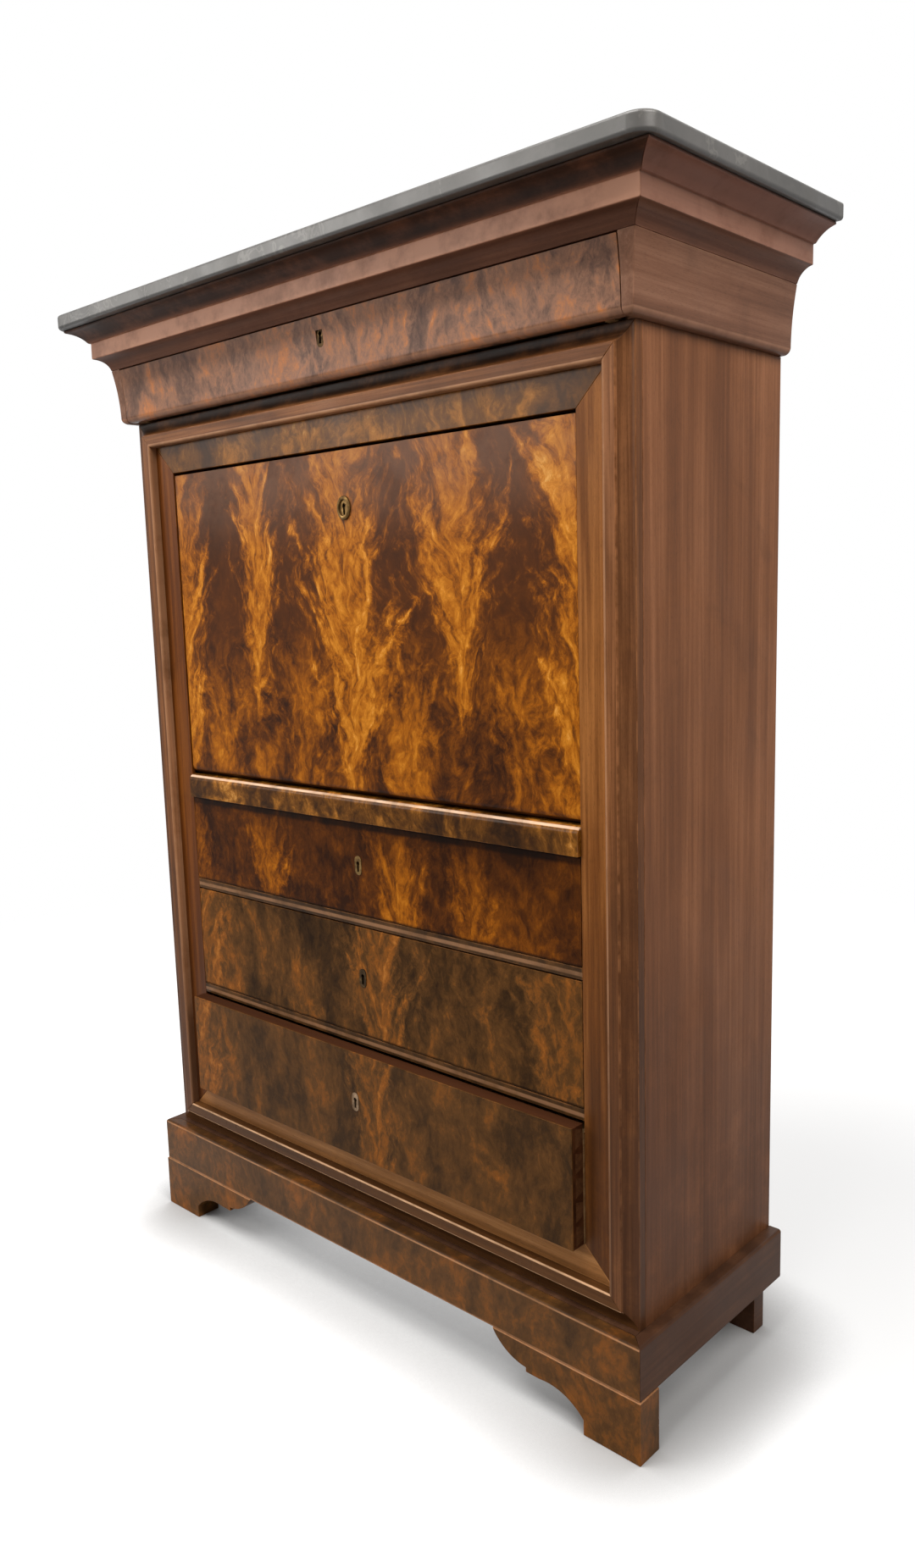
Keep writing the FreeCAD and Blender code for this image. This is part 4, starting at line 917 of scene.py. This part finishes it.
brass = brass_finish("old_brass", ((58, 42, 24), (104, 80, 46), (150, 122, 76)), 0.34)
dark_brass = brass_finish("dark_brass", ((34, 24, 14), (62, 46, 26), (104, 82, 46)), 0.38)
pale_inlay = brass_finish("pale_inlay", ((88, 70, 52), (124, 102, 80), (152, 128, 102)), 0.42)
gilding = brass_finish("gilding", ((120, 88, 34), (170, 130, 56), (204, 166, 88)), 0.32)
print("brass, inlay and gilding made")

# %% [markdown]
# ## Leather
# The writing surface is a dark brown hide. Small cells make its grain, with darker, lower borders.

# %% Leather
def leather_finish():
    material, tree, shader, place = new_finish("brown_leather")
    sockets = {"Vector": place, "Scale": 620}
    cells = add(tree, "TexVoronoi", sockets, feature="DISTANCE_TO_EDGE").outputs[0]
    wear = noise(tree, place, 26, 6.0, 0.62, 0.3)
    colour = ramp(tree, wear, [(0.3, (50, 27, 18)), (0.55, (68, 37, 24)), (0.8, (96, 58, 38))])
    colour = blended(tree, eased_range(tree, cells, 0.0, 0.12, 0.4, 0.0), colour, tone(28, 15, 10))
    dress(tree, shader, colour, eased_range(tree, wear, 0.3, 0.7, 0.48, 0.58), cells, 0.3, 0.0004)
    shader.inputs["Specular IOR Level"].default_value = 0.15
    return material


leather = leather_finish()
print("hide:", leather.name)

# %% [markdown]
# ## Softened arrises
# Hands and cloths have rounded every arris of an old desk a little, and light catches there. A CAD solid
# comes in as loose triangles, so a copy of it is merged, its flat faces are put together, and its sharp
# edges get a small bevel, whose faces are marked so that the polish can be rubbed thin there.

# %% Softening a copy
SOFT_WOOD = 0.0011
SHARP_ANGLE = math.radians(32)
SMOOTH_ANGLE = math.radians(34)


def bevelled(piece):
    """Bevel the sharp edges and mark the new faces as arris."""
    bevel = piece.modifiers.new("softened", "BEVEL")
    bevel.width = SOFT_WOOD
    bevel.segments = 2
    bevel.limit_method = "ANGLE"
    bevel.angle_limit = SHARP_ANGLE
    bevel.use_clamp_overlap = True
    bevel.material = 1
    bpy.ops.object.modifier_apply(modifier="softened")
    arris = piece.data.attributes.new("arris", "FLOAT", "FACE")
    for face in piece.data.polygons:
        arris.data[face.index].value = 1.0 if face.material_index == 1 else 0.0
        face.material_index = 0
    piece.data.materials.pop(index=1)


def softened(name, finish):
    """A copy of a CAD node with softened arrises, which stands for the node."""
    source = frame["nodes"][name]
    piece = bpy.data.objects.new(name + "_soft", source.data.copy())
    bpy.context.scene.collection.objects.link(piece)
    bpy.ops.object.select_all(action="DESELECT")
    piece.select_set(True)
    bpy.context.view_layer.objects.active = piece
    piece.data.materials.clear()
    piece.data.materials.append(finish)
    piece.data.materials.append(finish)
    for face in piece.data.polygons:
        face.material_index = 0
    bpy.ops.mesh.customdata_custom_splitnormals_clear()
    bpy.ops.object.mode_set(mode="EDIT")
    bpy.ops.mesh.select_all(action="SELECT")
    bpy.ops.mesh.remove_doubles(threshold=1e-5)
    bpy.ops.mesh.dissolve_limited(angle_limit=math.radians(0.4))
    bpy.ops.object.mode_set(mode="OBJECT")
    bevelled(piece)
    bpy.ops.object.shade_smooth_by_angle(angle=SMOOTH_ANGLE)
    flat = piece.modifiers.new("flat faces", "WEIGHTED_NORMAL")
    flat.keep_sharp = True
    flat.weight = 90
    bpy.ops.object.modifier_apply(modifier="flat faces")
    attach(piece, source["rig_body"])
    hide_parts(name)
    return piece


print("softening by", SOFT_WOOD, "m")

# %% [markdown]
# ## Which pieces are softened
# Every board that is seen gets a softened copy: the mahogany of the outside, the veneered fronts, the back,
# and the fitting behind the fall front.

# %% Softened copies
pieces = []
OUTSIDE = [
    (mahogany_crown, "cornice_front"), (mahogany_crown_return, "cornice_left", "cornice_right"),
    (frieze_return, "frieze_left", "frieze_right"), (mahogany_side, "side_panel_left", "side_panel_right"),
    (frame_bottom, "flat_frame_bottom"), (divider_veneer, "drawer_dividers"),
    (top_rail_veneer, "flat_frame_top"), (strip_bottom, "raised_strip_bottom"),
    (strip_top, "raised_strip_top"), (strip_upright, "raised_strip_left", "raised_strip_right"),
    (cross_veneer, "plinth_front", "front_foot_left", "front_foot_right"), (rail_veneer, "fall_rail"),
    (stile_shaded, "stile_left"), (mahogany_upright, "stile_right"),
    (mahogany_return, "plinth_left", "plinth_right")]
FRONTS = [
    (fall_flame, "fall_front"), (upper_flame, "upper_drawer_face"), (middle_flame, "middle_drawer_face"),
    (lower_flame, "lower_drawer_face"), (frieze_flame, "frieze_drawer_face")]
NEST = [(interior_upright, "nest_uprights"),
        (interior_wood, "nest_shelves", "small_drawer_left_face", "small_drawer_right_face")]
SOFTENED = [("mahogany", OUTSIDE), ("flame_mahogany", FRONTS),
            ("plain_wood", [(plain_wood_upright, "back_boards")]), ("interior_wood", NEST),
            ("mahogany", [(mahogany_return, "rear_feet")])]
for slot, rows in SOFTENED:
    for finish, *names in rows:
        pieces.extend(softened(name, finish) for name in names)
print("softened pieces:", len(pieces), "faces", sum(len(piece.data.polygons) for piece in pieces))

# %% [markdown]
# ## Finishes for the nodes that keep their CAD shape
# Boards out of sight, drawer boxes and metal fittings are already the right shape. They only change their
# material.

# %% Finishes on CAD nodes
SLOT_FINISH = {"mahogany": mahogany_across, "flame_mahogany": mahogany_across,
               "interior_wood": interior_wood, "plain_wood": plain_wood, "brass": brass, "marble": marble,
               "leather": leather}
SPECIAL = {"base_rail": mahogany_return, "lower_drawer_lock": pale_inlay, "middle_drawer_lock": dark_brass,
           "frieze_drawer_lock": dark_brass, "frieze_drawer_box": frieze_box_wood}
SPECIAL.update({name + "_drawer_box": drawer_box_wood for name in ("lower", "middle", "upper")})
SPECIAL.update({"small_drawer_%s_box" % side: small_box_wood for side in ("left", "right")})
for name, thing in frame["nodes"].items():
    slot_name = thing.data.materials[0].name
    finish = SPECIAL.get(name, SLOT_FINISH[slot_name.split(".")[0]])
    thing.data.materials.clear()
    thing.data.materials.append(finish)
print("finishes set on", len(frame["nodes"]), "nodes")

# %% [markdown]
# ## Small fittings
# A rim, screws and gilt lines are too fine for the CAD model. Each starts from a simple shape that is drawn
# out and put in its place, and then rides on a body of the desk.

# %% Helpers for fittings
CREASE_ANGLE = math.radians(40)


def begin(kind, **settings):
    """A new mesh in edit mode with everything selected."""
    bpy.ops.object.select_all(action="DESELECT")
    getattr(bpy.ops.mesh, "primitive_" + kind + "_add")(**settings)
    bpy.ops.object.mode_set(mode="EDIT")
    bpy.ops.mesh.select_all(action="SELECT")
    return bpy.context.object


def closed(piece, name):
    """Leave edit mode with outward normals, smooth curves and crisp corners."""
    bpy.ops.mesh.select_all(action="SELECT")
    bpy.ops.mesh.normals_make_consistent(inside=False)
    bpy.ops.object.mode_set(mode="OBJECT")
    bpy.ops.object.transform_apply(location=True, rotation=True, scale=True)
    bpy.ops.object.shade_smooth_by_angle(angle=CREASE_ANGLE)
    piece.name = name
    piece.data.name = name


def fitted(piece, body, finish):
    """Hand a finished piece to its body with a material."""
    piece.data.materials.clear()
    piece.data.materials.append(finish)
    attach(piece, body)
    pieces.append(piece)


print("fitting helpers ready")

# %% [markdown]
# ## Keyhole rim
# A turned brass rim keeps the key from scraping the veneer of the fall front. A ring is drawn through the
# steps of the turned section, closed, and made taller than it is wide.

# %% Keyhole rim
RIM_PLACE = (0, -0.1059, 1.132)
RIM_RADIUS = 0.0125
RIM_HEIGHT_SHARE = 1.25
rim = begin("circle", vertices=56, radius=RIM_RADIUS, fill_type="NOTHING")
RIM_STEPS = ((0.0016, 1.0), (0.0012, 0.95), (0.0007, 0.90), (0.0002, 0.90), (-0.0006, 0.88),
             (-0.0014, 0.94), (-0.0017, 1.0))
for shift, share in RIM_STEPS:
    bpy.ops.mesh.extrude_region_move(TRANSFORM_OT_translate={"value": (0, 0, shift)})
    bpy.ops.transform.resize(value=(share, share, share))
bpy.ops.mesh.select_all(action="SELECT")
bpy.ops.mesh.region_to_loop()
bpy.ops.mesh.bridge_edge_loops()
bpy.ops.mesh.select_all(action="SELECT")
bpy.ops.transform.resize(value=(1, RIM_HEIGHT_SHARE, 1))
bpy.ops.object.mode_set(mode="OBJECT")
rim.rotation_euler = (math.pi / 2, 0, 0)
rim.location = RIM_PLACE
bpy.ops.object.mode_set(mode="EDIT")
closed(rim, "fall_keyhole_rim")
fitted(rim, "fall", brass)
print("keyhole rim:", len(rim.data.polygons), "faces")

# %% [markdown]
# ## Screws
# Slotted screws hold the lock, the stays and the pivot plates. One head is made, with a slot cut by a
# blade, to be copied to every seat.

# %% One screw
SCREW_RADIUS = 0.0026
SCREW_DEPTH = 0.0012
SCREW_PROUD = 0.00025
SCREW_SOFT = 0.00018
SLOT_WIDTH_SHARE = 0.24
pattern = begin("cylinder", vertices=28, radius=SCREW_RADIUS, depth=SCREW_DEPTH,
                location=(0, 0, SCREW_PROUD - SCREW_DEPTH / 2))
bpy.ops.mesh.bevel(offset=SCREW_SOFT, segments=2, affect="EDGES")
bpy.ops.object.mode_set(mode="OBJECT")
blade = begin("cube", size=1)
bpy.ops.transform.resize(value=(SCREW_RADIUS * 3, SCREW_RADIUS * SLOT_WIDTH_SHARE, SCREW_DEPTH))
bpy.ops.transform.translate(value=(0, 0, SCREW_PROUD))
bpy.ops.object.mode_set(mode="OBJECT")
bpy.ops.object.select_all(action="DESELECT")
pattern.select_set(True)
bpy.context.view_layer.objects.active = pattern
slot_cut = pattern.modifiers.new("slot", "BOOLEAN")
slot_cut.object = blade
slot_cut.operation = "DIFFERENCE"
slot_cut.solver = "EXACT"
bpy.ops.object.modifier_apply(modifier="slot")
bpy.data.objects.remove(blade)
bpy.ops.object.mode_set(mode="EDIT")
closed(pattern, "screw_pattern")
print("screw:", len(pattern.data.polygons), "faces")

# %% [markdown]
# ## Where the screws sit
# The lock, the feet of the stays and every pivot plate have their screws. No two slots lie in line, so each
# head is turned further than the last.

# %% Screws in their seats
TO_BACK = Matrix.Rotation(-math.pi / 2, 4, "X")
TO_RIGHT = Matrix.Rotation(math.pi / 2, 4, "Y")
TO_LEFT = Matrix.Rotation(-math.pi / 2, 4, "Y")
FALL_BACK = -0.084
FOOT_FACE = -0.081
LEAF_FACE = 0.3805
FRAME_FACE = 0.382
PLATE_MIDDLE = -0.095
LOCK_HALF, STAY_HALF = 0.026, 0.3625
SLOT_TURN = math.radians(47)
screw_seats = []
for side in (-1, 1):
    outward, inward = (TO_RIGHT, TO_LEFT) if side > 0 else (TO_LEFT, TO_RIGHT)
    for high in (1.117, 1.147):
        screw_seats.append(("fall", (side * LOCK_HALF, FALL_BACK, high), TO_BACK))
    for high in (0.877, 0.905):
        screw_seats.append(("fall", (side * STAY_HALF, FOOT_FACE, high), TO_BACK))
    for high in (0.784, 0.802):
        screw_seats.append(("fall", (side * LEAF_FACE, PLATE_MIDDLE, high), outward))
        screw_seats.append(("carcase", (side * FRAME_FACE, PLATE_MIDDLE, high), inward))
for index, (body, seat, turn) in enumerate(screw_seats):
    screw = bpy.data.objects.new("screw_%02d" % (index + 1), pattern.data.copy())
    bpy.context.scene.collection.objects.link(screw)
    spin = Matrix.Rotation(SLOT_TURN * index, 4, "Z")
    screw.data.transform(Matrix.Translation(seat) @ turn @ spin)
    fitted(screw, body, dark_brass)
bpy.data.objects.remove(pattern)
print("screws:", len(screw_seats))

# %% [markdown]
# ## Gilt lines
# A heated wheel presses gold leaf into the edge of the leather, a broad line outside and a fine one inside.
# Each is a thin frame that stands a hair above the hide.

# %% Gilt lines on the leather
LEATHER_LOW, LEATHER_HIGH, LEATHER_HALF = 0.812, 1.100, 0.3185
GILT_PROUD = 0.00012
GILT_LINES = ((0.012, 0.0018), (0.018, 0.0008))
for number, (inset, width) in enumerate(GILT_LINES, 1):
    line = begin("plane", size=1)
    tall = LEATHER_HIGH - LEATHER_LOW - inset * 2
    bpy.ops.transform.resize(value=((LEATHER_HALF - inset) * 2, tall, 1))
    bpy.ops.mesh.inset(thickness=width, use_even_offset=True)
    bpy.ops.mesh.delete(type="FACE")
    bpy.ops.mesh.select_all(action="SELECT")
    bpy.ops.mesh.extrude_region_move(TRANSFORM_OT_translate={"value": (0, 0, GILT_PROUD * 2)})
    bpy.ops.object.mode_set(mode="OBJECT")
    line.rotation_euler = (-math.pi / 2, 0, 0)
    line.location = (0, FALL_BACK - GILT_PROUD, (LEATHER_LOW + LEATHER_HIGH) / 2)
    bpy.ops.object.mode_set(mode="EDIT")
    closed(line, "gilt_line_%d" % number)
    fitted(line, "fall", gilding)
print("fittings done, pieces so far:", len(pieces))

# %% Size and finish
low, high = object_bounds()
print("size:", [round(value, 4) for value in high - low])
